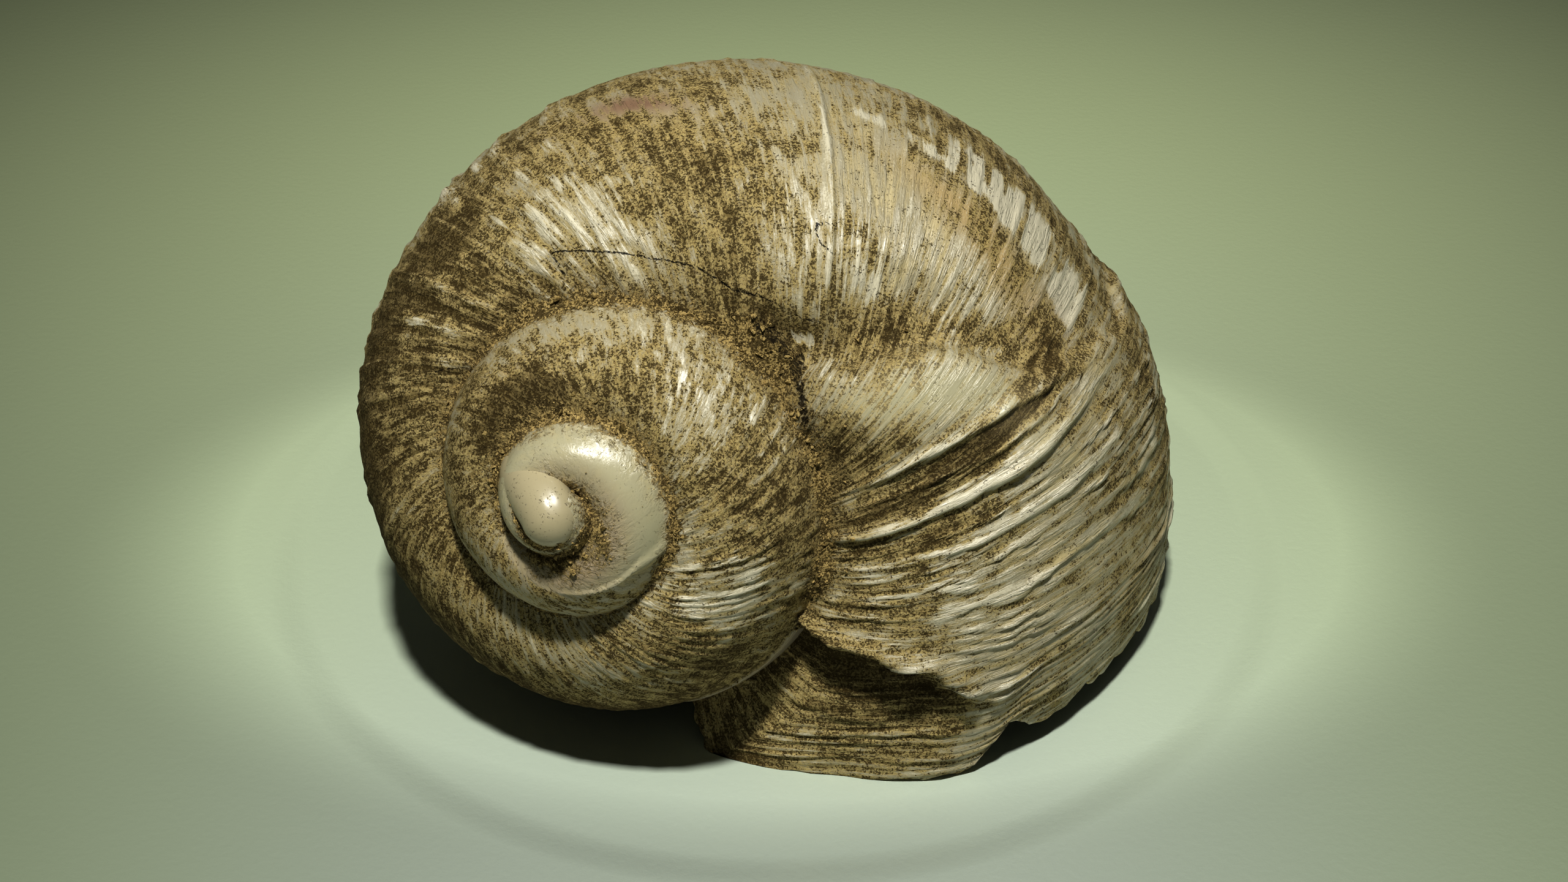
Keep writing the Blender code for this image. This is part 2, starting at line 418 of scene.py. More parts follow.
@dataclass(frozen=True)
class Markings:
    """Where the film of soil, the chalk and the tints lie on the shell. Some film patches also paint
    shade on the lower-left side of the middle whorls.
    """

    film: tuple[Patch, ...] = (
        # These two patches darken the lower-left side: partly soil film, partly painted shade where that
        # side faces away from the lamp.
        Patch(-1.56, 80.0, 0.10, 20.0, 0.50),
        Patch(-1.55, 80.0, 0.25, 24.0, 0.55),
        Patch(-1.51, 60.0, 0.010, 5.0, -0.60),
        Patch(-1.30, 62.0, 0.05, 30.0, -0.35),
        Patch(-1.20, 55.0, 0.05, 22.0, 0.45),
        Patch(-1.15, 78.0, 0.12, 12.0, 0.25),
        Patch(-1.085, 70.0, 0.02, 30.0, -0.30),
        Patch(-1.02, 55.0, 0.04, 25.0, 0.25),
        # The patches from line -1.00 to -0.76 darken the lower-left side: partly soil film, partly
        # painted shade where that side faces away from the lamp.
        Patch(-1.00, 15.0, 0.25, 35.0, 0.60),
        Patch(-0.90, 88.0, 0.20, 14.0, 0.30),
        Patch(-0.82, 22.0, 0.14, 30.0, 0.45),
        Patch(-0.80, 25.0, 0.20, 22.0, 0.45),
        Patch(-0.76, 30.0, 0.15, 55.0, 0.60),
        Patch(-0.74, 60.0, 0.12, 30.0, 0.30),
        Patch(-0.60, 88.0, 0.06, 14.0, 0.25),
        Patch(-0.57, 52.0, 0.09, 15.0, 0.75),
        # This patch darkens the left side: partly soil film, partly painted shade.
        Patch(-0.55, 60.0, 0.10, 50.0, 0.28),
        Patch(-0.47, 72.0, 0.030, 12.0, -0.30),
        Patch(-0.42, 32.0, 0.025, 6.0, -0.70),
        Patch(-0.41, 30.0, 0.05, 25.0, 0.25),
        Patch(-0.41, 60.0, 0.030, 24.0, 0.25),
        Patch(-0.41, 70.0, 0.06, 40.0, 0.15),
        Patch(-0.375, 92.0, 0.035, 6.0, 0.50),
        Patch(-0.365, 64.0, 0.014, 16.0, -0.30),
        Patch(-0.317, 53.0, 0.012, 4.0, 0.60),
        Patch(-0.31, 61.0, 0.022, 9.0, -0.45),
        Patch(-0.28, 80.0, 0.05, 20.0, 0.15),
        Patch(-0.262, 92.0, 0.025, 8.0, 0.70),
        Patch(-0.25, 1.0, 0.07, 7.0, 0.60),
        Patch(-0.233, 84.0, 0.010, 14.0, 0.55),
        Patch(-0.20, 30.0, 0.013, 8.0, 0.55),
        Patch(-0.192, 66.0, 0.012, 36.0, 1.0),
        Patch(-0.19, 55.0, 0.012, 14.0, 0.35),
        Patch(-0.187, 56.0, 0.020, 8.0, 0.30),
        Patch(-0.159, 64.0, 0.006, 20.0, 0.40),
        Patch(-0.130, 86.0, 0.050, 14.0, 0.35),
        Patch(-0.120, 64.0, 0.022, 22.0, -0.15),
        Patch(-0.085, 40.0, 0.050, 35.0, -0.30),
    )
    chalk: tuple[Patch, ...] = (
        Patch(-0.31, 61.0, 0.022, 9.0, 0.60),
        Patch(-0.47, 72.0, 0.030, 12.0, 0.35),
        Patch(-0.365, 64.0, 0.014, 16.0, 0.30),
        Patch(-0.25, 42.0, 0.05, 7.0, 0.25),
        Patch(-0.12, 64.0, 0.025, 24.0, 0.25),
        Patch(-1.09, 70.0, 0.03, 30.0, 0.35),
        Patch(-1.30, 62.0, 0.06, 30.0, 0.25),
        Patch(-0.148, 88.0, 0.005, 9.0, 0.60),
    )
    amber: tuple[Patch, ...] = (
        Patch(-0.25, 30.0, 0.045, 6.0, 0.9),
        Patch(-0.43, 42.0, 0.04, 9.0, 0.5),
        Patch(-1.51, 60.0, 0.008, 4.0, 1.2),
        Patch(-0.07, 12.0, 0.04, 10.0, 0.4),
    )
    crust: tuple[Patch, ...] = (
        Patch(-2.96, 82.0, 0.15, 34.0, 1.5),
        Patch(-2.71, 103.0, 0.11, 16.0, 1.5),
    )
    rose: tuple[Patch, ...] = (
        Patch(-2.05, 85.0, 0.20, 22.0, 0.38),
        Patch(-0.418, 32.0, 0.020, 5.0, 1.2),
        Patch(-0.455, 36.0, 0.020, 4.0, 0.6),
        Patch(-0.20, 30.0, 0.012, 8.0, 0.5),
    )
    bands: tuple[tuple[float, float, Step, Step, float], ...] = (
        (-0.282, -0.186, (9.0, 2.5), (22.5, 1.0), 0.95),
        (-0.334, -0.270, (19.0, 1.0), (22.0, 1.0), 0.70),
    )
    band_fade: float = 0.012

    def spread(self, name: str, line: Array, angle: Array) -> Array:
        """The strength of one kind of marking at each point."""
        return sum(patch.at(line, angle) for patch in getattr(self, name))

    def band(self, line: Array, angle: Array) -> Array:
        """The pale spiral bands, with sharp edges."""
        total = 0.0
        for start, end, low, high, amount in self.bands:
            begun = amount * ease(line, start, start + self.band_fade)
            shown = begun * (1 - ease(line, end - self.band_fade, end))
            total = total + shown * within(angle, low, high)
        return total


@dataclass
class Relief:
    """The outer face's height over the plain tube, and what covers it."""

    law: GrowthLaw
    ribs: tuple[RibTable, RibTable] = (
        RibTable(
            3,
            (
                RibCharacter(-2.10, 0.0100, 0.00 * MM),
                RibCharacter(-1.95, 0.0090, 0.02 * MM),
                RibCharacter(-1.60, 0.0085, 0.05 * MM),
                RibCharacter(-1.30, 0.0070, 0.06 * MM),
                RibCharacter(-1.20, 0.0100, 0.16 * MM),
                RibCharacter(-1.00, 0.0090, 0.15 * MM),
                RibCharacter(-0.66, 0.0080, 0.14 * MM),
                RibCharacter(-0.62, 0.0140, 0.32 * MM, 0.55),
                RibCharacter(-0.46, 0.0130, 0.28 * MM, 0.55),
                RibCharacter(-0.42, 0.0070, 0.06 * MM),
                RibCharacter(-0.34, 0.0060, 0.10 * MM),
                RibCharacter(-0.20, 0.0065, 0.14 * MM),
                RibCharacter(-0.16, 0.0060, 0.24 * MM),
                RibCharacter(-0.08, 0.0065, 0.26 * MM),
                RibCharacter(0.0, 0.0060, 0.12 * MM),
            ),
        ),
        RibTable(
            8,
            (
                RibCharacter(-2.10, 0.0100, 0.00 * MM),
                RibCharacter(-1.95, 0.0070, 0.02 * MM),
                RibCharacter(-1.25, 0.0070, 0.05 * MM),
                RibCharacter(-1.15, 0.0095, 0.14 * MM),
                RibCharacter(-1.00, 0.0070, 0.12 * MM),
                RibCharacter(-0.66, 0.0060, 0.10 * MM),
                RibCharacter(-0.60, 0.0120, 0.28 * MM, 0.5),
                RibCharacter(-0.46, 0.0110, 0.24 * MM, 0.5),
                RibCharacter(-0.42, 0.0055, 0.05 * MM),
                RibCharacter(-0.20, 0.0055, 0.12 * MM),
                RibCharacter(-0.16, 0.0050, 0.22 * MM),
                RibCharacter(0.0, 0.0055, 0.14 * MM),
            ),
        ),
    )
    markings: Markings = field(default_factory=Markings)
    patches: Noise = field(default_factory=lambda: Noise(11))
    grains: Noise = field(default_factory=lambda: Noise(12))
    gaps: tuple[Crack, ...] = (
        Crack(
            ((-0.385, 90), (-0.372, 90), (-0.360, 90.5), (-0.350, 92), (-0.339, 93.5), (-0.317, 95.5)),
            0.60,
        ),
    )
    chips: tuple[Crack, ...] = (
        Crack(((-0.361, 87.5), (-0.355, 85.5), (-0.350, 84.5)), 0.26),
        Crack(((-0.328, 85.5), (-0.326, 84.5)), 0.20),
    )
    scar_base_age: float = -0.178
    scar_steps: tuple[tuple[float, Step], ...] = (
        (0.023, (-8.0, 10.0)),
        (-0.030, (52.0, 9.0)),
        (-0.012, (84.0, 3.0)),
    )
    scar_depth: float = 1.25 * MM
    scar_width: float = 0.030
    scar_edge: float = 0.0018
    scar_swelling: float = 0.60 * MM
    glaze: float = 0.15 * MM
    seam_soil: Table = (
        (-3.2, 0.1),
        (-2.2, 0.5),
        (-2.0, 1.1),
        (-1.88, 1.1),
        (-1.75, 0.5),
        (-1.6, 0.9),
        (-1.3, 0.9),
        (-1.1, 0.7),
        (-0.95, 0.35),
        (-0.85, 0.12),
        (-0.72, 0.15),
        (-0.6, 0.6),
        (-0.45, 0.9),
        (-0.33, 0.9),
        (-0.22, 1.2),
        (-0.05, 1.4),
        (-0.015, 0.12),
    )
    fan_lines: Table = (
        (30.0, -0.183),
        (40.0, -0.190),
        (60.0, -0.203),
        (80.0, -0.213),
        (95.0, -0.221),
    )
    plate_depth: float = 1.15 * MM
    plate_shares: Table = ((56.0, 0.5), (70.0, 0.9), (90.0, 1.2))
    plate_ages: Table = (
        (47.0, -0.027),
        (52.0, -0.024),
        (59.5, -0.024),
        (68.0, -0.0265),
        (76.0, -0.0225),
        (82.0, -0.0195),
        (88.5, -0.015),
        (93.0, -0.011),
        (98.0, -0.0075),
    )
    layer_ages: Table = (
        (68.0, -0.020),
        (68.8, -0.004),
        (70.3, 0.0105),
        (75.6, 0.0165),
        (82.2, 0.026),
        (90.8, 0.0395),
        (97.1, 0.055),
    )
    protoconch_lines: Table = (
        (33.0, -2.091),
        (52.0, -2.073),
        (63.0, -2.019),
        (75.0, -1.95),
        (90.0, -1.87),
        (97.0, -1.83),
    )
    varix_line: float = -0.3415
    crest_line: float = -0.169
    second_crest_line: float = -0.148
    varix_height: float = 0.22 * MM
    crest_height: float = 0.42 * MM
    second_crest_height: float = 0.18 * MM
    protoconch_ridge: float = 0.20 * MM

    def scar_age(self, angle: Array) -> Array:
        """The healed break's edge."""
        wander = 0.004 * (self.patches.at(angle * 9.0, 3.0) - 0.5)
        steps = sum(amount * rise_at(angle, step) for amount, step in self.scar_steps)
        return self.scar_base_age + wander + steps

    def waver(self, line: Array, angle: Array) -> Array:
        """How far a rib strays from its growth line, in turns."""
        slow = self.patches.at(line * 26.0, angle * 2.2) - 0.5
        quick = self.patches.at(line * 60.0 + 5.0, angle * 6.5) - 0.5
        fine = self.patches.at(line * 90.0 + 2.0, angle * 20.0) - 0.5
        loose = 0.004 + 0.006 * rise(line, -0.19, 0.02)
        return loose * (slow + 0.45 * quick + 0.22 * fine)

    def ribbing(self, line: Array, angle: Array) -> Array:
        """The growth ribs' height, in metres."""
        at = line + self.waver(line, angle)
        share = ease(self.patches.at(line * 30.0 + 9.0, angle * 3.1), 0.38, 0.62)
        height = (1 - share) * self.ribs[0].at(at) + share * self.ribs[1].at(at)
        strength = 0.35 + 0.95 * self.patches.at(line * 55.0, angle * 4.3 + 4.0)
        strength = strength * (0.5 + self.patches.at(line * 110.0 + 6.0, angle * 15.0))
        return height * strength * within(angle, (-80.0, 18.0), (98.0, 3.0))

    def strong_ribs(self, line: Array, angle: Array) -> Array:
        """The few thick ribs: the one over the top, and those of the wavy part by the lip."""
        at = line + 0.5 * self.waver(line, angle)
        varix_line = self.varix_line + 0.004 * (self.patches.at(angle * 4.0, 7.5) - 0.5)
        varix = self.varix_height * bump(at, varix_line, 0.0022) * within(angle, (4.0, 8.0), (74.0, 6.0))
        uneven = 0.25 + 0.7 * self.patches.at(angle * 6.0, 5.5)
        uneven = uneven + 0.7 * self.patches.at(angle * 19.0, 8.5)
        crest = uneven_bump(at, self.crest_line, 0.0050, 0.0014)
        broken = 0.55 + 0.8 * self.patches.at(angle * 11.0, 14.5)
        crest = self.crest_height * crest * within(angle, (28.0, 14.0), (96.0, 3.0)) * broken
        second = uneven_bump(at, self.second_crest_line, 0.0030, 0.0012)
        second = self.second_crest_height * second * within(angle, (20.0, 14.0), (94.0, 3.0)) * uneven
        fan_line = read_table(self.fan_lines, np.degrees(angle))
        fan_line = fan_line + 0.004 * (self.patches.at(angle * 7.0, 12.5) - 0.5)
        fan = uneven_bump(at, fan_line, 0.0042, 0.0018)
        third_line = fan_line + 0.014 * rise_at(angle, (45.0, 12.0)) + 0.004
        third = bump(at, third_line, 0.0018) * uneven
        fan = (0.30 * fan * uneven + 0.16 * third) * MM * within(angle, (33.0, 5.0), (90.0, 5.0))
        first = self.protoconch_ridge * bump(line, self.protoconch_end(angle), 0.011)
        first = first * within(angle, (20.0, 8.0), (70.0, 5.0))
        return varix + crest + second + fan + first

    def scar(self, age: Array, angle: Array) -> Array:
        """The sunken strip before the healed break and the swelling after it."""
        past = age - self.scar_age(angle)
        after = rise(past, 0.0, self.scar_edge)
        deep = 0.35 + 0.65 * rise_at(angle, (38.0, 14.0))
        sunken = bump(past, -0.45 * self.scar_width, self.scar_width) * (1 - after) * deep
        swollen = bump(past, 0.9 * self.scar_width, 0.9 * self.scar_width) * after
        swollen = swollen * (0.25 + 0.75 * rise_at(angle, (34.0, 12.0)))
        return (self.scar_swelling * swollen - self.scar_depth * sunken) * rise_at(angle, (-30.0, 14.0))

    def plate_edge(self, angle: Array) -> Array:
        """The age at which the ribbed edge over the plate ends."""
        slow = self.patches.at(angle * 12.0, 1.5) - 0.5
        quick = self.patches.at(angle * 40.0, 1.5) - 0.5
        return read_table(self.plate_ages, np.degrees(angle)) + (0.004 * slow + 0.002 * quick)

    def protoconch_end(self, angle: Array) -> Array:
        """The growth line at which the smooth first whorls end."""
        return read_table(self.protoconch_lines, np.degrees(angle))

    def plate(self, age: Array, angle: Array) -> Array:
        """The low plate that was added last, under the ribbed edge beside the lip."""
        edge = self.plate_edge(angle)
        low = rise(age, edge, 0.0008) * rise_at(angle, (56.0, 6.0))
        tilt = read_table(self.layer_ages, np.degrees(angle))
        layer = rise(age, tilt + 0.004 * (self.patches.at(angle * 15.0, 6.5) - 0.5), 0.0010)
        flare = 0.45 * MM * bump(age, edge - 0.004, 0.005) * rise_at(angle, (56.0, 8.0))
        low = low * read_table(self.plate_shares, np.degrees(angle))
        return flare - self.plate_depth * low - 0.16 * MM * layer * rise_at(angle, (66.0, 3.0))


def object_from(made: bmesh.types.BMesh, name: str, material: bpy.types.Material) -> bpy.types.Object:
    """Links a new object that takes over a bmesh.

    Args:
        made: The bmesh, which is freed.
        name: The object's name.
        material: Its finish.

    Returns:
        The new object, at the origin.
    """
    mesh = bpy.data.meshes.new(name)
    made.to_mesh(mesh)
    made.free()
    mesh.materials.append(material)
    piece = bpy.data.objects.new(name, mesh)
    bpy.context.scene.collection.objects.link(piece)
    return piece


class Graph:
    """Builds one material's nodes. A value given to a node is a number, a colour or a socket."""

    def __init__(self, name: str) -> None:
        """Starts a material.

        Args:
            name: The material's name.
        """
        self.material = bpy.data.materials.new(name)
        self.material.use_nodes = True
        self.nodes = self.material.node_tree.nodes
        self.links = self.material.node_tree.links
        self.shader = self.nodes["Principled BSDF"]

    def put(self, socket: Socket, value: float | tuple | Socket) -> None:
        """Sets a socket, or links it."""
        if isinstance(value, bpy.types.NodeSocket):
            self.links.new(value, socket)
        elif isinstance(value, tuple) and len(value) == 3 and socket.type == "RGBA":
            socket.default_value = (*value, 1.0)
        else:
            socket.default_value = value

    def finish(self, **values: float | tuple | Socket) -> bpy.types.Material:
        """Sets the shader's own sockets, named with underscores for spaces, and gives the material."""
        for name, value in values.items():
            self.put(self.shader.inputs[name.replace("_", " ")], value)
        return self.material

    def math(self, operation: str, *values: float | Socket, clamp: bool = False) -> Socket:
        """One Math node."""
        node = self.nodes.new("ShaderNodeMath")
        node.operation = operation
        node.use_clamp = clamp
        for socket, value in zip(node.inputs, values):
            self.put(socket, value)
        return node.outputs[0]

    def add(self, *values: float | Socket) -> Socket:
        """The sum of several values."""
        return reduce(partial(self.math, "ADD"), values)

    def times(self, *values: float | Socket) -> Socket:
        """The product of several values."""
        return reduce(partial(self.math, "MULTIPLY"), values)

    def most(self, *values: float | Socket) -> Socket:
        """The greatest of several values."""
        return reduce(partial(self.math, "MAXIMUM"), values)

    def less(self, value: float | Socket) -> Socket:
        """One minus a value."""
        return self.math("SUBTRACT", 1.0, value)

    def ease(
        self, value: Socket, low: float, high: float, start: float = 0.0, end: float = 1.0
    ) -> Socket:
        """A smooth step from start to end, as the value goes from low to high."""
        node = self.nodes.new("ShaderNodeMapRange")
        node.interpolation_type = "SMOOTHSTEP"
        for socket, number in zip(node.inputs, (value, low, high, start, end)):
            self.put(socket, number)
        return node.outputs[0]

    def mix(self, share: float | Socket, first: tuple | Socket, second: tuple | Socket) -> Socket:
        """A mix of two colours."""
        node = self.nodes.new("ShaderNodeMix")
        node.data_type = "RGBA"
        self.put(node.inputs[0], share)
        self.put(node.inputs[6], first)
        self.put(node.inputs[7], second)
        return node.outputs[2]

    def blend(self, share: float | Socket, first: float | Socket, second: float | Socket) -> Socket:
        """A mix of two numbers."""
        node = self.nodes.new("ShaderNodeMix")
        self.put(node.inputs[0], share)
        self.put(node.inputs[2], first)
        self.put(node.inputs[3], second)
        return node.outputs[0]

    def attribute(self, name: str) -> Socket:
        """A number kept on the mesh's points."""
        node = self.nodes.new("ShaderNodeAttribute")
        node.attribute_name = name
        return node.outputs["Fac"]

    def object_place(self) -> Socket:
        """The place on the object, in metres."""
        return self.nodes.new("ShaderNodeTexCoord").outputs["Object"]

    def growth_place(self) -> Socket:
        """The place in the map that follows the growth lines, in millimetres."""
        node = self.nodes.new("ShaderNodeUVMap")
        node.uv_map = "growth"
        return node.outputs[0]

    def stretch(self, place: Socket, scale: tuple, shift: tuple = (0.0, 0.0, 0.0)) -> Socket:
        """A place with each coordinate scaled, then shifted."""
        node = self.nodes.new("ShaderNodeMapping")
        self.put(node.inputs["Vector"], place)
        self.put(node.inputs["Scale"], scale)
        self.put(node.inputs["Location"], shift)
        return node.outputs[0]

    def length(self, place: Socket) -> Socket:
        """How far a place is from the origin."""
        return self.vector("LENGTH", place)

    def vector(self, operation: str, *values: tuple | Socket) -> Socket:
        """One Vector Math node."""
        node = self.nodes.new("ShaderNodeVectorMath")
        node.operation = operation
        for socket, value in zip(node.inputs, values):
            self.put(socket, value)
        return node.outputs["Value" if operation in ("LENGTH", "DOT_PRODUCT") else "Vector"]

    def near_path(self, place: Socket, path: list[tuple[float, float, float]]) -> Socket:
        """How far a place is from a path of straight pieces."""
        nearest = None
        for start, end in zip(path, path[1:]):
            along = Vector(end) - Vector(start)
            offset = self.vector("SUBTRACT", place, start)
            share = self.vector("DOT_PRODUCT", offset, tuple(along / along.length_squared))
            foot = self.vector("MULTIPLY", tuple(along), self.math("MULTIPLY", share, 1.0, clamp=True))
            far = self.length(self.vector("SUBTRACT", offset, foot))
            nearest = far if nearest is None else self.math("MINIMUM", nearest, far)
        return nearest

    def axis(self, place: Socket, index: int) -> Socket:
        """One coordinate of a place."""
        node = self.nodes.new("ShaderNodeSeparateXYZ")
        self.put(node.inputs[0], place)
        return node.outputs[index]

    def noise(
        self, place: Socket, scale: float, detail: float = 2.0, rough: float = 0.5, twist: float = 0.0
    ) -> Socket:
        """Noise from 0 to 1.

        Args:
            place: Where it is read.
            scale: Cells to a unit of the place.
            detail: How many finer layers it has.
            rough: The strength of each layer against the one before.
            twist: How far it is distorted.

        Returns:
            The node's value.
        """
        node = self.nodes.new("ShaderNodeTexNoise")
        self.put(node.inputs["Vector"], place)
        settings = {"Scale": scale, "Detail": detail, "Roughness": rough, "Distortion": twist}
        for name, value in settings.items():
            self.put(node.inputs[name], value)
        return node.outputs[0]

    def bumps(self, *layers: tuple[float | Socket, float]) -> Socket:
        """Bump from several layers.

        Args:
            layers: Each layer's height from 0 to 1, and how tall 1 is, in metres.

        Returns:
            The normal.
        """
        normal = None
        for height, tall in layers:
            node = self.nodes.new("ShaderNodeBump")
            self.put(node.inputs["Height"], height)
            self.put(node.inputs["Distance"], tall)
            if normal is not None:
                self.put(node.inputs["Normal"], normal)
            normal = node.outputs[0]
        return normal


class Tone(Enum):
    """The finish's colours, as linear red, green and blue."""

    CREAM = (0.58, 0.49, 0.27)
    GREY = (0.45, 0.41, 0.29)
    CHALK = (0.72, 0.67, 0.51)
    TAN = (0.54, 0.43, 0.19)
    BROWN = (0.26, 0.18, 0.065)
    AMBER = (0.52, 0.37, 0.15)
    OCHRE = (0.58, 0.44, 0.19)
    UMBER = (0.17, 0.122, 0.040)
    SPECK = (0.052, 0.034, 0.010)
    # Painted shade: near-black for the shade inside the open gaps and cracks.
    CRACK_SHADE = (0.012, 0.009, 0.005)
    ROSE = (0.34, 0.22, 0.14)
    PEARL = (0.53, 0.50, 0.335)
    INSIDE = (0.45, 0.38, 0.28)


@dataclass(frozen=True)
class ShellFinish:
    """Cream shell with chalky rib crests under a broken film of dried soil."""

    name: str = "weathered_shell"
    cracks: tuple[Crack, ...] = (
        Crack(
            (
                (-0.51, 88),
                (-0.505, 80),
                (-0.48, 82.5),
                (-0.45, 84),
                (-0.42, 83.5),
                (-0.40, 85),
                (-0.38, 82.5),
            ),
            0.075,
        ),
        Crack(((-0.38, 82.5), (-0.355, 81), (-0.345, 78)), 0.045),
        Crack(((-0.631, 84), (-0.626, 88), (-0.621, 94)), 0.06),
        Crack(((-0.341, 62.5), (-0.347, 62.3), (-0.350, 60.5), (-0.349, 58.5), (-0.344, 57)), 0.05),
    )
    patch_scale: float = 700.0
    blot_patch_scale: float = 1500.0
    crumb_scale: float = 4500.0
    grain_scale: float = 8500.0
    blot_scale: float = 9500.0
    blot_threshold: float = -0.645

    def make(self, law: GrowthLaw) -> bpy.types.Material:
        """Builds the material for a shell that follows a growth law."""
        graph = Graph(self.name)
        place = graph.object_place()
        growth = graph.growth_place()
        soil, chalk, film, polish = map(graph.attribute, ("soil", "chalk", "film", "polish"))
        amber, rose, inside, gap = map(graph.attribute, ("amber", "rose", "inside", "gap"))

        streaks = graph.noise(graph.stretch(growth, (2.4, 0.30, 1.0)), 1.0, 5.0, 0.66)
        fine_streaks = graph.noise(graph.stretch(growth, (6.0, 0.8, 1.0)), 1.0, 3.0, 0.65)
        ridges = graph.ease(streaks, 0.40, 0.60)
        patches = graph.noise(place, self.patch_scale, 5.0, 0.65, 0.3)
        grain = graph.noise(place, self.grain_scale, 4.0, 0.72)
        crumbs = graph.noise(place, self.crumb_scale, 4.0, 0.68, 0.5)
        blots = graph.noise(place, self.blot_scale, 3.0, 0.64, 0.5)
        blot_patches = graph.noise(place, self.blot_patch_scale, 3.0, 0.7)

        def around(value: Socket, gain: float) -> Socket:
            """A noise's swing about its middle."""
            return graph.times(graph.math("SUBTRACT", value, 0.5), gain)

        shell = graph.mix(graph.ease(streaks, 0.35, 0.65), Tone.CREAM.value, Tone.GREY.value)
        shell = graph.mix(amber, shell, Tone.AMBER.value)
        crest = graph.add(chalk, around(fine_streaks, 1.0), around(ridges, 0.35), around(grain, 1.2))
        shell = graph.mix(graph.ease(crest, 0.25, 0.70), shell, Tone.CHALK.value)
        shell = graph.mix(polish, shell, Tone.PEARL.value)
        shell = graph.mix(rose, shell, Tone.ROSE.value)

        cover = graph.add(
            film,
            around(patches, 1.6),
            around(ridges, -0.45),
            around(fine_streaks, -1.0),
            around(grain, 1.0),
        )
        thin = graph.ease(cover, 0.20, 0.75)
        heavy = graph.ease(graph.add(cover, around(crumbs, 1.4)), 0.80, 1.35)
        film_tone = graph.mix(graph.ease(grain, 0.37, 0.53), Tone.BROWN.value, Tone.TAN.value)
        film_tone = graph.mix(heavy, film_tone, Tone.UMBER.value)
        colour = graph.mix(graph.times(thin, 0.90), shell, film_tone)

        thick = graph.ease(graph.add(soil, around(crumbs, 1.2)), 0.35, 0.65)
        soil_tone = graph.mix(graph.ease(crumbs, 0.36, 0.52), Tone.UMBER.value, Tone.OCHRE.value)
        soil_tone = graph.mix(graph.ease(grain, 0.42, 0.30), soil_tone, Tone.SPECK.value)
        colour = graph.mix(thick, colour, soil_tone)

        dirty = graph.most(graph.times(thin, 0.75), thick, heavy)
        density = graph.add(
            graph.times(dirty, 0.17),
            around(blot_patches, 0.45),
            around(ridges, -0.05),
            self.blot_threshold,
        )
        speck = graph.ease(graph.add(blots, density), -0.02, 0.07)
        speck = graph.times(speck, graph.less(graph.times(polish, 0.7)))
        colour = graph.mix(graph.times(speck, 0.85), colour, Tone.SPECK.value)
        ragged = graph.noise(growth, 2.2, 4.0, 0.7)
        bent = graph.vector("ADD", growth, around(ragged, 0.7))
        # Painted shade: the open gaps and the cracks are coloured near-black for the shade inside them,
        # and sunk by a bump.
        opened = graph.ease(graph.add(gap, around(crumbs, 3.0)), 0.75, 1.15, 0.0, 0.9)
        for crack in self.cracks:
            far = graph.near_path(bent, crack.on_map(law))
            opened = graph.most(opened, graph.ease(far, crack.width, 0.3 * crack.width))
        colour = graph.mix(opened, colour, Tone.CRACK_SHADE.value)
        colour = graph.mix(inside, colour, Tone.INSIDE.value)

        covered = graph.most(thin, thick, speck)
        rough = graph.blend(covered, 0.36, 0.9)
        rough = graph.blend(graph.times(polish, graph.less(thick)), rough, 0.26)
        rough = graph.blend(inside, rough, 0.25)
        shine = graph.blend(graph.times(covered, graph.less(polish)), 0.5, 0.08)
        bare = graph.less(graph.most(inside, polish))
        normal = graph.bumps(
            (graph.times(ridges, bare), 0.045 * MM),
            (graph.times(fine_streaks, bare), 0.022 * MM),
            (graph.times(crumbs, thick), 0.10 * MM),
            (graph.times(grain, thin, bare), 0.018 * MM),
            (graph.times(graph.ease(cover, 0.2, 0.9), bare), 0.02 * MM),
            (graph.times(speck, -1.0), 0.02 * MM),
            (graph.times(opened, -1.0), 0.15 * MM),
        )
        return graph.finish(
            Base_Color=colour,
            Roughness=rough,
            Specular_IOR_Level=shine,
            Normal=normal,
            IOR=1.5,
        )


@dataclass(frozen=True)
class SoilFinish:
    """Dry ochre soil."""

    name: str = "dry_soil"

    def make(self) -> bpy.types.Material:
        """Builds the material."""
        graph = Graph(self.name)
        place = graph.object_place()
        lumps = graph.noise(place, 1800.0, 3.0, 0.6)
        grain = graph.noise(place, 8000.0, 4.0, 0.7)
        colour = graph.mix(graph.ease(lumps, 0.36, 0.56), Tone.UMBER.value, Tone.OCHRE.value)
        colour = graph.mix(graph.ease(grain, 0.50, 0.36), colour, Tone.SPECK.value)
        normal = graph.bumps((grain, 0.10 * MM))
        return graph.finish(Base_Color=colour, Roughness=0.95, Specular_IOR_Level=0.1, Normal=normal)


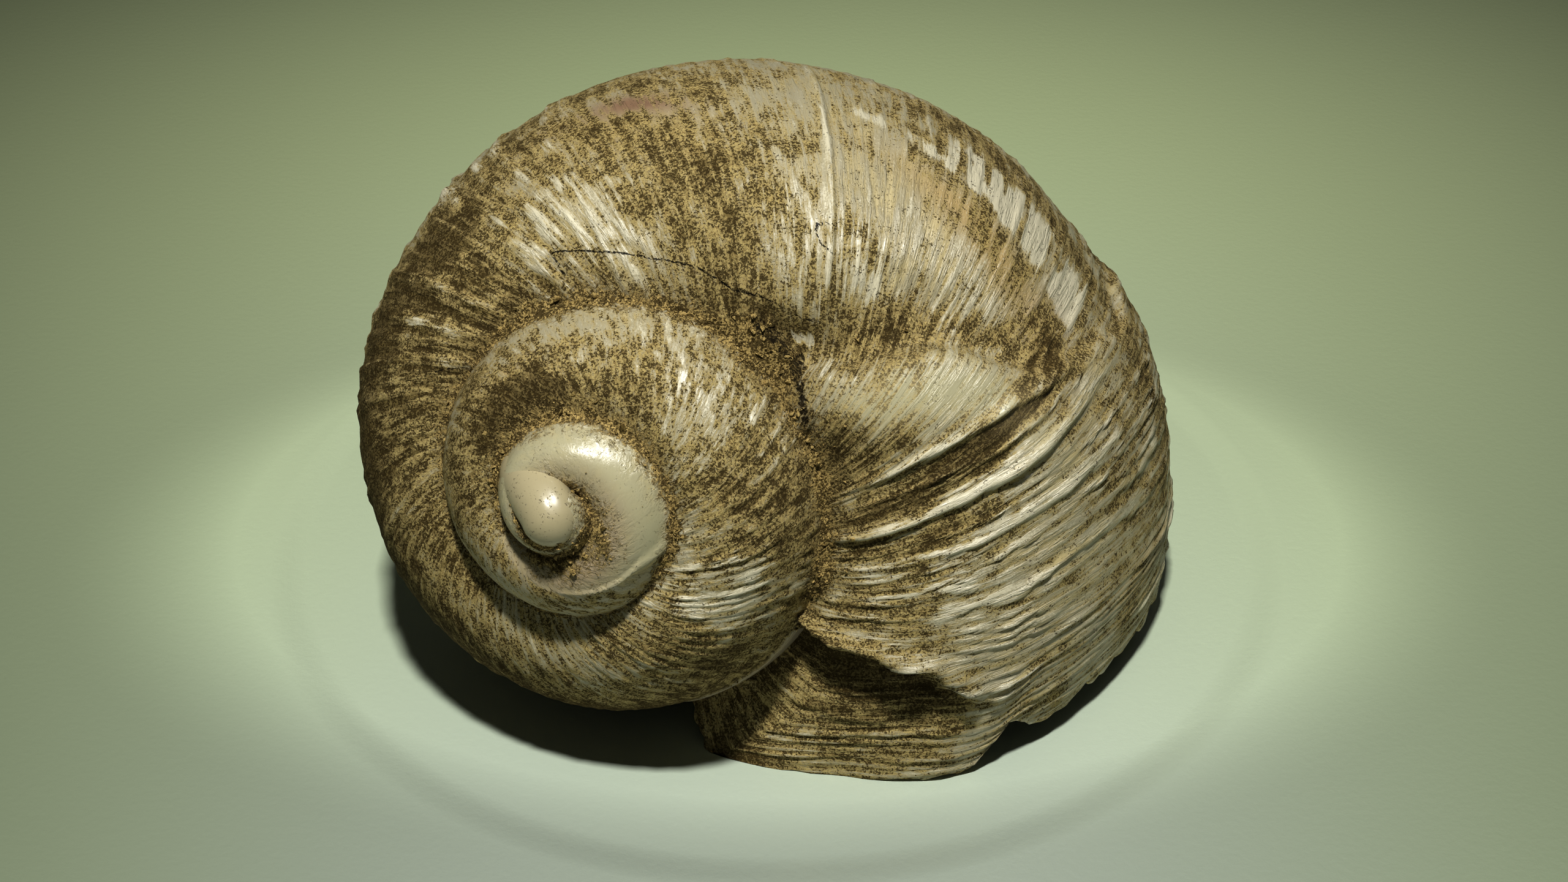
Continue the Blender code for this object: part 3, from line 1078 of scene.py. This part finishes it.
@dataclass(frozen=True)
class FloorFinish:
    """A pale, slightly glossy surface with painted light: a painted glow round the shell, and painted
    falloff of the light away from it.

    Attributes:
        name: The material's name.
        front: The colour in front of the shell.
        side: The colour at its sides.
        back: The colour behind it.
        level: The painted light's logarithm under the shell.
        across: How the painted light's logarithm changes across the floor, by powers of the distance.
        deep: How it changes away from the camera, by powers of the distance.
        unit: The distance that counts as 1 in these powers, in metres.
        across_limits: How far across the painted light changes.
        deep_limits: How far away from the camera it changes.
        painted_glow: Where the painted glow round the shell ends, and where it is whole, in metres.
        painted_glow_amount: How much the painted glow adds to the logarithm.
        ring: Where the shallow step round the shell starts and ends, in metres.
    """

    name: str = "pale_floor"
    front: tuple[float, float, float] = (0.54, 0.61, 0.53)
    side: tuple[float, float, float] = (0.52, 0.61, 0.42)
    back: tuple[float, float, float] = (0.49, 0.56, 0.34)
    level: float = -0.23
    across: tuple[float, float] = (0.08, -0.59)
    deep: tuple[float, float, float] = (0.38, 0.14, -0.33)
    unit: float = 0.05
    across_limits: tuple[float, float] = (-1.2, 1.2)
    deep_limits: tuple[float, float] = (-0.5, 1.45)
    painted_glow: tuple[float, float] = (0.032, 0.019)
    painted_glow_amount: float = 0.60
    ring: tuple[float, float] = (0.0240, 0.0262)

    def make(self) -> bpy.types.Material:
        """Builds the material."""
        graph = Graph(self.name)
        place = graph.object_place()
        across, deep = (
            self.within(graph, graph.times(graph.axis(place, index), 1 / self.unit), limits)
            for index, limits in enumerate((self.across_limits, self.deep_limits))
        )
        # Painted light: the floor's brightness changes across it and away from the camera, standing in
        # for the light's falloff.
        powers = [graph.times(*(across,) * (power + 1), by) for power, by in enumerate(self.across)]
        powers += [graph.times(*(deep,) * (power + 1), by) for power, by in enumerate(self.deep)]
        # Painted glow: the floor is painted brighter round the shell, as a pool of light.
        painted_glow = graph.length(graph.stretch(place, (0.85, 1.3, 1.0), (0.0, -0.0060, 0.0)))
        painted_glow = graph.ease(painted_glow, *self.painted_glow, 0.0, self.painted_glow_amount)
        painted_light = graph.math("EXPONENT", graph.add(*powers, painted_glow, self.level))
        behind = graph.ease(graph.axis(place, 1), -0.03, 0.06)
        beside = graph.ease(graph.math("ABSOLUTE", across), 0.2, 0.8)
        colour = graph.mix(beside, self.front, self.side)
        colour = graph.mix(behind, colour, self.back)
        colour = graph.mix(painted_light, (0.0, 0.0, 0.0), colour)
        ring = graph.length(graph.stretch(place, (1.0, 1.0, 1.0), (0.0, -0.0055, 0.0)))
        ring = graph.ease(ring, *self.ring)
        dust = graph.noise(place, 2500.0, 2.0, 0.6)
        normal = graph.bumps((ring, 0.35 * MM), (dust, 0.02 * MM))
        return graph.finish(Base_Color=colour, Roughness=0.36, Normal=normal)

    def within(self, graph: Graph, value: Socket, limits: tuple[float, float]) -> Socket:
        """The value, held between two limits."""
        low, high = limits
        return graph.most(graph.math("MINIMUM", value, high), low)


@dataclass
class ShellBody:
    """The shell's surface, from the apex over the lip to the end of the hollow."""

    law: GrowthLaw
    relief: Relief
    finish: ShellFinish = field(default_factory=ShellFinish)
    row_spans: Table = (
        (-2.25, 60),
        (-1.9, 110),
        (-1.28, 90),
        (-0.95, 480),
        (-0.62, 230),
        (-0.36, 450),
        (-0.10, 920),
        (0.0, 700),
    )
    shown_arc: tuple[float, float] = (math.radians(-165.0), math.radians(102.0))
    base_columns: int = 22
    shoulder_from: float = math.radians(-20.0)
    shoulder_columns: int = 82
    hidden_columns: int = 6
    cap_rows: int = 8
    rim_rows: int = 3
    inner_rows: int = 44
    hollow_end: float = -0.72
    lip_wall: float = 0.55 * MM
    notches: Table = (
        (36.0, 0.0),
        (45.0, 0.0135),
        (46.4, 0.0),
        (50.8, 0.0),
        (52.0, 0.003),
        (53.2, 0.0),
        (74.0, 0.0),
        (76.0, 0.006),
        (77.6, 0.0),
    )
    full_wall: float = 1.0 * MM
    ball_centre: tuple[float, float, float] = (-9.49 * MM, -14.63 * MM, 16.18 * MM)
    ball_radius: float = 0.92 * MM
    ball_softness: float = 0.08 * MM
    first_shown_end: float = math.radians(186.0)
    ball_end: float = -2.65
    unevenness: float = 0.30 * MM
    crust: float = 0.62
    film_level: float = 0.43
    soil_level: float = -1.7
    soil_lumps: float = 0.22 * MM
    full_rib_heights: Table = ((-1.3, 0.12 * MM), (-0.9, 0.24 * MM))
    weld: float = 0.002 * MM
    surface: dict[str, Array] = field(default_factory=dict)

    def angles(self) -> Array:
        """Section angles of the columns, with the first one again at the end, a turn on."""
        start, end = self.shown_arc
        base = np.linspace(start, self.shoulder_from, self.base_columns, endpoint=False)
        shoulder = np.linspace(self.shoulder_from, end, self.shoulder_columns, endpoint=False)
        hidden = np.linspace(end, start + FULL_TURN, self.hidden_columns + 1)
        return np.concatenate([base, shoulder, hidden])

    def lines(self) -> Array:
        """Growth lines of the outer rows."""
        spans, start = [], self.law.first_line
        for end, rows in self.row_spans:
            spans.append(np.linspace(start, end, round((end - start) * rows), endpoint=False))
            start = end
        return np.append(np.concatenate(spans), 0.0)

    def lip(self, angle: Array) -> Array:
        """The lip's age at each section angle, with its chips."""
        chips = np.maximum(self.relief.patches.at(angle * 14.0, 20.5) - 0.5, 0)
        teeth = np.abs(self.relief.patches.at(angle * 40.0, 22.5) - 0.5)
        notches = read_table(self.notches, np.degrees(angle))
        return self.law.lip_age(angle) - 0.010 * chips - 0.006 * teeth - notches

    def dress(self, line: Array, age: Array, angle: Array) -> tuple[Array, dict[str, Array]]:
        """Works out the outer face's lift and what covers it.

        Args:
            line: The growth line at each point.
            age: The age at each point.
            angle: The section angle at each point.

        Returns:
            The lift in metres, and the coverings, each from 0 to 1.
        """
        law, relief = self.law, self.relief
        radius, depth = law.coil_point(age, angle, 0.0, 1.0)
        points = law.to_world(age, radius, depth)
        to_last = law.distance_to_whorl(age - 1, radius, depth)
        to_next = law.distance_to_whorl(age + 1, radius, depth)
        has_next = 1 - rise(age, law.seam_lip_age - 1.0, 0.004)
        inside = ease(-to_next, -0.05 * MM, 0.15 * MM) * has_next
        on_last = ease(-to_last, 0.0, 0.4 * MM)

        ribbing = relief.ribbing(line, angle)
        strong = relief.strong_ribs(line, angle)
        shape = relief.scar(age, angle) + relief.plate(age, angle)
        unevenness = self.unevenness * (relief.patches.rough(points, 5.0 * MM, 2) - 0.5)
        ends = 1 - rise_at(angle, (112.0, 5.0))
        past_scar = age - relief.scar_age(angle)
        smooth_bulge = bump(past_scar, 0.020, 0.016) * within(angle, (44.0, 6.0), (90.0, 4.0))
        ribbing = ribbing * (1 - 0.9 * smooth_bulge)
        young = rise(line, relief.protoconch_end(angle), 0.03)
        bare = (ribbing + strong + shape + unevenness * young) * ends

        fill, crust = self.seam_fill(age, to_last, to_next, points)
        fill = fill * MM
        valley = Patch(-0.014, 64.0, 0.016, 24.0, 1.0).at(past_scar, angle)
        grain = relief.grains.rough(points, 0.9 * MM, 3) - 0.5
        level = (self.soil_level + 0.55 * valley + 0.6 * grain) * MM
        level = np.maximum(level, fill)
        lumps = self.soil_lumps * (relief.grains.rough(points, 0.45 * MM, 3) - 0.5)
        covered = np.maximum(bare, level + lumps)
        soil = np.maximum(ease(covered - bare, 0.0, 0.12 * MM), crust)
        lift = covered * (1 - inside) + relief.glaze * inside

        marks = relief.markings
        full_height = read_table(self.full_rib_heights, line)
        crest = np.clip((ribbing + 0.9 * strong) / full_height, 0.0, 1.1)
        crest = crest * (0.35 + 1.2 * relief.grains.rough(points, 1.2 * MM, 3))
        crest = crest * (1 - 0.3 * bump(line, -0.52, 0.12))
        broad = relief.patches.rough(points, 5.0 * MM, 3)
        protoconch = 1 - rise(line, relief.protoconch_end(angle) + 0.012, 0.012)
        strokes = ease(relief.patches.at(line * 230.0, angle * 5.0) + 0.25 * grain, 0.28, 0.50)
        band = marks.band(line, angle + 0.06 * (relief.patches.at(line * 200.0, 3.5) - 0.5)) * strokes
        bent = line + 0.02 * (relief.patches.rough(points, 3.0 * MM, 2) - 0.5)
        swerved = angle + 0.25 * (relief.patches.rough(points + 9.0 * MM, 3.0 * MM, 2) - 0.5)
        grooved = bump(line, -0.54, 0.08) * rise_at(angle, (60.0, 8.0)) + 0.9 * bump(line, -0.12, 0.07)
        hollow = (1 - np.clip(crest, 0.0, 1.0)) * grooved
        film = self.film_level - 0.50 * crest + 1.2 * (broad - 0.5) - 0.9 * band + 0.45 * hollow
        film = film + marks.spread("film", bent, swerved) + 0.6 * valley
        past_edge = age - relief.plate_edge(angle)
        # Darker film on the low plate under the ribbed edge: soil, and painted shade under the edge's
        # overhang.
        plate_film_and_shade = 0.65 * rise(past_edge, 0.0, 0.002) + 0.8 * bump(past_edge, 0.010, 0.012)
        film = film + plate_film_and_shade * rise_at(angle, (58.0, 6.0))
        chalk = crest * (0.20 + 0.9 * relief.patches.at(line * 40.0 + 3.0, angle * 3.0))
        chalk = np.clip(chalk + marks.spread("chalk", bent, swerved) + 1.1 * band, 0.0, 1.0)
        amber = marks.spread("amber", bent, angle)
        apex_crust = marks.spread("crust", line, angle)
        polish = protoconch + 0.75 * smooth_bulge - 1.5 * (crust + apex_crust)
        film = film - 0.9 * protoconch - 0.45 * smooth_bulge
        soil = np.maximum(soil, apex_crust)
        rose = 0.20 * protoconch * rise_at(angle, (76.0, 10.0))
        rose = rose + marks.spread("rose", line, angle)
        chip = sum(crack.at(law, line, angle) for crack in relief.chips)
        chalk, film, soil = chalk + chip, film - 2.0 * chip, soil * (1 - chip)
        clean = 1 - inside
        coverings = {
            "gap": sum(crack.at(law, line, angle) for crack in relief.gaps) * clean,
            "soil": soil * clean,
            "chalk": np.clip(chalk, 0.0, 1.0) * clean * (1 - protoconch),
            "film": np.clip(film, -1.0, 1.5) * clean,
            "polish": np.clip(polish, 0.0, 1.0) * clean,
            "amber": np.clip(amber, 0.0, 1.0) * clean * (1 - protoconch),
            "rose": np.clip(rose, 0.0, 1.0) * clean,
            "inside": inside,
            "hidden": np.maximum(on_last, inside),
        }
        return lift, coverings

    def seam_fill(
        self, age: Array, to_last: Array, to_next: Array, points: Array
    ) -> tuple[Array, Array]:
        """Works out the soil in the seams on both sides of each point.

        Args:
            age: The age at each point.
            to_last: How far it is outside the whorl before, in metres.
            to_next: How far it is outside the whorl after, in metres.
            points: The points, in metres.

        Returns:
            How high the soil stands, in millimetres, and how thick the crust beside it is, from 0 to 1.
        """
        relief = self.relief
        broad = relief.patches.rough(points, 2.2 * MM, 3)
        fine = relief.grains.rough(points, 0.6 * MM, 2)
        ragged = 0.1 + 0.9 * broad + 0.9 * fine
        fill = np.full(age.shape, -2.0)
        crust = np.zeros(age.shape)
        for distance, seam_age in ((to_last, age), (to_next, age + 1)):
            wide = read_table(relief.seam_soil, seam_age) * ragged
            wide = wide * (1 - rise(seam_age, 0.0, 0.01)) + 0.02
            near = np.clip(wide - np.abs(distance) / MM, 0.0, None)
            fill = np.maximum(fill, np.where(near > 0, 1.2 * near**2 / (4 * wide) - 0.02, -2.0))
            crust = np.maximum(crust, self.crust * bump(np.abs(distance) / MM, 0.0, 1.25 * wide))
        return fill, crust

    def build(self) -> bpy.types.Object:
        """Makes the surface as one mapped grid, closes it and dresses it."""
        law = self.law
        columns = self.angles()
        lip_angles = columns[None, :]
        lip, plain_lip = self.lip(lip_angles), law.lip_age(lip_angles)
        lines = self.lines()[:, None] + 0 * lip_angles
        arc_start, arc_end = self.shown_arc
        whole_turn = arc_start + FULL_TURN
        opened = np.interp(
            columns, (arc_start, arc_end, whole_turn), (arc_start, self.first_shown_end, whole_turn)
        )
        angles = columns + (1 - rise(lines, law.first_whorl_end, 0.05)) * (opened - columns)
        ages = law.slanted_age(lines, angles, plain_lip)
        for column in range(len(columns)):
            last_line = np.interp(lip[0, column], ages[:, column], lines[:, column])
            lines[:, column] = np.minimum(lines[:, column], last_line)
        ages = np.minimum(ages, lip)
        lift, coverings = self.dress(lines, ages, angles)
        outer = law.place(ages, angles, lift)

        turns = np.radians(np.linspace(90, 0, self.cap_rows, endpoint=False)[:, None])
        cap_ages = ages[:1] - 0.15 * np.sin(turns)
        cap = law.place(cap_ages, angles[:1], lift[:1], np.cos(turns))

        wall_share = np.linspace(0, 1, self.inner_rows)[:, None]
        inner_ages = lip + (self.hollow_end - lip) * wall_share
        shape = self.relief.scar(inner_ages, lip_angles) + self.relief.plate(inner_ages, lip_angles)
        sunken = np.minimum(shape, 0.0)
        wall = self.lip_wall + (self.full_wall - self.lip_wall) * ease(wall_share, 0.0, 0.25)
        at_rim = 1 - ease(wall_share, 0.0, 0.06)
        inner_lift = sunken * (1 - at_rim) + lift[-1:] * at_rim - wall
        inner = law.place(inner_ages, lip_angles, inner_lift)
        closing = np.radians(np.linspace(0, 90, self.cap_rows)[1:, None])
        floor_ages = inner_ages[-1:] - 0.05 * np.sin(closing)
        hollow_floor = law.place(floor_ages, lip_angles, inner_lift[-1:], np.cos(closing))

        around = np.radians(np.linspace(0, 180, self.rim_rows + 2)[1:-1, None])
        bulge = 0.5 * self.lip_wall / (FULL_TURN * law.reach(lip)) * np.sin(around)
        rim_lift = lift[-1:] - 0.5 * self.lip_wall * (1 - np.cos(around))
        rim = law.place(lip + bulge, lip_angles, rim_lift)

        young = np.concatenate([0 * cap_ages + 1, ease(self.ball_end - lines, 0.0, 0.12)])
        face = np.concatenate([cap, outer])
        face = face + (self.on_ball(face) - face) * young[..., None]
        points = np.concatenate([face, rim, inner, hollow_floor])
        points[..., 2] = np.maximum(points[..., 2], 0.0)
        before, after = len(cap), len(rim) + len(inner) + len(hollow_floor)
        fade = np.minimum(np.arange(after)[:, None] / (self.rim_rows + 3), 1.0)
        for name, values in coverings.items():
            first, last = np.repeat(values[:1], before, axis=0), np.repeat(values[-1:], after, axis=0)
            last = last * (1 - fade) + (name in ("inside", "hidden")) * fade
            coverings[name] = np.concatenate([first, values, last])
        mapped = []
        for values, last in ((lines, lines[-1:]), (angles, lip_angles)):
            first, last = np.repeat(values[:1], before, axis=0), np.repeat(last, after, axis=0)
            mapped.append(np.concatenate([first, values, last]))
        growth = law.on_map(*mapped)
        piece = self.mesh_from(points, coverings, growth)
        self.surface = {"points": points, **coverings}
        return piece

    def on_ball(self, points: Array) -> Array:
        """The points, pushed out to the ball that fills the rounded end of the first whorl."""
        centre = np.array(self.ball_centre)
        away = points - centre
        far = np.linalg.norm(away, axis=-1, keepdims=True)
        soft = self.ball_softness
        pushed = far + soft * np.log1p(np.exp((self.ball_radius - far) / soft))
        return centre + away / np.maximum(far, 0.01 * MM) * pushed

    def mesh_from(self, points: Array, coverings: dict[str, Array], growth: Array) -> bpy.types.Object:
        """Maps a grid to the surface's points and closes it.

        Args:
            points: The points by row and column; the last column is the first one again.
            coverings: Numbers kept on the points.
            growth: The map that follows the growth lines, by row and column.

        Returns:
            The shell's surface.
        """
        rows, columns = points.shape[:2]
        grid = bmesh.new()
        bmesh.ops.create_grid(grid, x_segments=rows - 1, y_segments=columns - 1, size=1.0)
        flat = bpy.data.meshes.new("flat")
        grid.to_mesh(flat)
        places = np.empty(len(flat.vertices) * 3, np.float32)
        flat.vertices.foreach_get("co", places)
        places = places.reshape(-1, 3)
        row = np.rint((places[:, 0] + 1) / 2 * (rows - 1)).astype(int)
        column = np.rint((places[:, 1] + 1) / 2 * (columns - 1)).astype(int)
        flat.vertices.foreach_set("co", points[row, column].astype(np.float32).ravel())
        for name, values in coverings.items():
            flat.attributes.new(name, "FLOAT", "POINT").data.foreach_set(
                "value", values[row, column].astype(np.float32)
            )
        corners = np.empty(len(flat.loops), np.int32)
        flat.loops.foreach_get("vertex_index", corners)
        map_layer = flat.uv_layers.new(name="growth")
        map_layer.data.foreach_set("uv", growth[row, column][corners].astype(np.float32).ravel())
        grid.clear()
        grid.from_mesh(flat)
        bpy.data.meshes.remove(flat)
        bmesh.ops.remove_doubles(grid, verts=grid.verts, dist=self.weld)
        bmesh.ops.recalc_face_normals(grid, faces=grid.faces)
        for face in grid.faces:
            face.smooth = True
        return object_from(grid, "shell_surface", self.finish.make(self.law))


@dataclass
class FirstWhorl:
    """The smooth round end of the first whorl, where the coil starts.

    Attributes:
        material: The shell's material.
        path: The tube's middle from its round end back into the coil, in millimetres.
        radii: The tube's radius at each point of the path, in millimetres.
        polish: How smooth and shiny it is, from 0 to 1.
        rose: How pink it is, from 0 to 1.
        ring_faces: How many faces go round it.
        rows: How many rows of faces it has, half of them on the rounded end.
    """

    material: bpy.types.Material
    path: tuple[tuple[float, float, float], ...] = (
        (-9.50, -14.88, 16.17),
        (-9.89, -14.26, 16.52),
        (-10.37, -13.25, 16.69),
        (-10.85, -11.95, 16.64),
        (-10.96, -10.56, 16.44),
    )
    radii: tuple[float, ...] = (1.27, 1.28, 1.27, 1.25, 1.20)
    polish: float = 0.5
    rose: float = 0.15
    ring_faces: int = 72
    rows: int = 96

    def build(self) -> bpy.types.Object:
        """Makes the end as a ball, half of which is drawn out along the path."""
        made = bmesh.new()
        bmesh.ops.create_uvsphere(made, u_segments=self.ring_faces, v_segments=self.rows, radius=1.0)
        self.order_faces(made)
        ball = np.array([vert.co for vert in made.verts])
        along = np.clip(-ball[:, 2], 0.0, 1.0)
        places = self.on_path(along)
        ahead = self.on_path(along - 0.02) - self.on_path(along + 0.02)
        ahead /= np.linalg.norm(ahead, axis=1, keepdims=True)
        across = np.cross(ahead, (0.0, 0.0, 1.0))
        across /= np.linalg.norm(across, axis=1, keepdims=True)
        up = np.cross(across, ahead)
        ring_size = np.maximum(np.hypot(ball[:, 0], ball[:, 1]), 1e-6)
        width = np.where(along > 0, (1 - along**6) / ring_size, 1.0)
        radii = np.interp(along, np.linspace(0, 1, len(self.radii)), self.radii)
        sides = across * (ball[:, :1] * width[:, None]) + up * (ball[:, 1:2] * width[:, None])
        places += radii[:, None] * (sides + ahead * np.maximum(ball[:, 2:], 0.0))
        polish = made.verts.layers.float.new("polish")
        rose = made.verts.layers.float.new("rose")
        for vert, place in zip(made.verts, places):
            vert.co = place * MM
            vert[polish] = self.polish
            vert[rose] = self.rose
        bmesh.ops.recalc_face_normals(made, faces=made.faces)
        for face in made.faces:
            face.smooth = True
        return object_from(made, "first_whorl", self.material)

    def order_faces(self, made: bmesh.types.BMesh) -> None:
        """Sorts the faces by their corners, as the sphere's order changes from run to run."""
        made.verts.index_update()
        ordered = sorted(made.faces, key=lambda face: [vert.index for vert in face.verts])
        for index, face in enumerate(ordered):
            face.index = index
        made.faces.sort()

    def on_path(self, along: Array) -> Array:
        """Points of the smooth curve along the path, at shares of its length."""
        shares = np.linspace(0, 1, len(self.path))
        curves = [np.polyfit(shares, axis, 3) for axis in zip(*self.path)]
        return np.stack([np.polyval(curve, along) for curve in curves], axis=1)


@dataclass
class SoilCrumbs:
    """Loose crumbs of dry soil, stuck in the seams and hollows of the shell."""

    body: ShellBody
    finish: SoilFinish = field(default_factory=SoilFinish)
    count: int = 6000
    seed: int = 5
    jitter: float = 0.04 * MM
    sizes: tuple[float, float] = (0.020 * MM, 0.12 * MM)

    def build(self) -> bpy.types.Object:
        """Scatters the crumbs where the soil is thick."""
        draw = np.random.default_rng(self.seed)
        surface = self.body.surface
        points = surface["points"].reshape(-1, 3)
        chance = (surface["soil"] * (1 - surface["hidden"])).ravel() ** 3
        chosen = draw.choice(len(points), self.count, p=chance / chance.sum())
        places = points[chosen] + draw.normal(0, self.jitter, (self.count, 3))
        crumbs = bmesh.new()
        seed_crumb = bmesh.new()
        bmesh.ops.create_icosphere(seed_crumb, subdivisions=1, radius=1.0)
        seed_mesh = bpy.data.meshes.new("seed_crumb")
        seed_crumb.to_mesh(seed_mesh)
        seed_crumb.free()
        small, large = self.sizes
        for spot in places:
            first = len(crumbs.verts)
            crumbs.from_mesh(seed_mesh)
            crumbs.verts.ensure_lookup_table()
            size = small + (large - small) * draw.random() ** 9
            squash = Matrix.Diagonal((*(size * draw.uniform(0.35, 1.6, 3)), 1.0))
            turn = Matrix.Rotation(draw.uniform(0, FULL_TURN), 4, Vector(draw.normal(size=3)))
            place = Matrix.Translation(Vector(spot)) @ turn @ squash
            for vert in crumbs.verts[first:]:
                vert.co = place @ (vert.co * draw.uniform(0.5, 1.5))
        bpy.data.meshes.remove(seed_mesh)
        return object_from(crumbs, "soil_crumbs", self.finish.make())


@dataclass(frozen=True)
class Lamp:
    """A soft light.

    Attributes:
        name: Its name.
        place: Where it hangs, in metres.
        size: Its sides, in metres.
        watts: Its power.
        colour: Its colour.
    """

    name: str
    place: tuple[float, float, float]
    size: tuple[float, float]
    watts: float
    colour: tuple[float, float, float]


@dataclass
class Studio:
    """The floor, the lights and the camera."""

    floor_side: float = 1.6
    lens: float = 63.28
    camera_place: tuple[float, float, float] = (0.389 * MM, -108.97 * MM, 85.46 * MM)
    camera_tilt: float = math.radians(55.21)
    sensor_width: float = 36.0
    aim: tuple[float, float, float] = (0.0, 0.0, 0.012)
    air_colour: tuple[float, float, float, float] = (0.86, 0.92, 0.84, 1.0)
    air_strength: float = 0.055
    gamma: float = 0.8
    ceiling: Lamp = Lamp("ceiling", (-0.01, -0.135, 0.38), (0.030, 0.025), 1.79, (1.0, 0.99, 0.95))
    glint: Lamp = Lamp("glint", (0.13, -0.03, 0.38), (0.14, 0.08), 2.0, (1.0, 1.0, 1.0))

    def build(self) -> None:
        """Sets the whole studio up."""
        self.floor()
        self.hang(self.ceiling)
        self.hang(self.glint).visible_diffuse = False
        self.camera()
        world = bpy.data.worlds.new("studio_air")
        world.use_nodes = True
        air = world.node_tree.nodes["Background"]
        air.inputs["Color"].default_value = self.air_colour
        air.inputs["Strength"].default_value = self.air_strength
        bpy.context.scene.world = world
        view = bpy.context.scene.view_settings
        view.view_transform = "Standard"
        view.gamma = self.gamma

    def floor(self) -> None:
        """Lays the floor."""
        made = bmesh.new()
        bmesh.ops.create_grid(made, x_segments=2, y_segments=2, size=self.floor_side / 2)
        object_from(made, "floor", FloorFinish().make())

    def hang(self, lamp: Lamp) -> bpy.types.Object:
        """Hangs one soft light that faces the shell, and gives it."""
        data = bpy.data.lights.new(lamp.name, "AREA")
        data.shape = "RECTANGLE"
        data.size, data.size_y = lamp.size
        data.energy = lamp.watts
        data.color = lamp.colour
        light = bpy.data.objects.new(lamp.name, data)
        light.location = lamp.place
        facing = Vector(self.aim) - Vector(lamp.place)
        light.rotation_euler = facing.to_track_quat("-Z", "Y").to_euler()
        bpy.context.scene.collection.objects.link(light)
        return light

    def camera(self) -> None:
        """Places the camera as the photograph's stood."""
        data = bpy.data.cameras.new("camera")
        data.lens = self.lens
        data.sensor_width = self.sensor_width
        data.clip_start = 0.002
        data.clip_end = 10.0
        stand = bpy.data.objects.new("camera", data)
        stand.location = self.camera_place
        stand.rotation_euler = (self.camera_tilt, 0, 0)
        bpy.context.scene.collection.objects.link(stand)
        bpy.context.scene.camera = stand


def main() -> None:
    """Builds the shell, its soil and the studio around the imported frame."""
    logging.basicConfig(level=logging.INFO, format="%(name)s: %(message)s")
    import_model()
    Studio().build()
    law = GrowthLaw()
    body = ShellBody(law, Relief(law))
    surface = body.build()
    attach(surface, "root")
    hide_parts("shell")
    log.info("%s: %d faces", surface.name, len(surface.data.polygons))
    first = FirstWhorl(surface.data.materials[0]).build()
    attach(first, "root")
    crumbs = SoilCrumbs(body).build()
    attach(crumbs, "root")
    log.info("%s: %d faces", crumbs.name, len(crumbs.data.polygons))


if __name__ == "__main__":
    main()
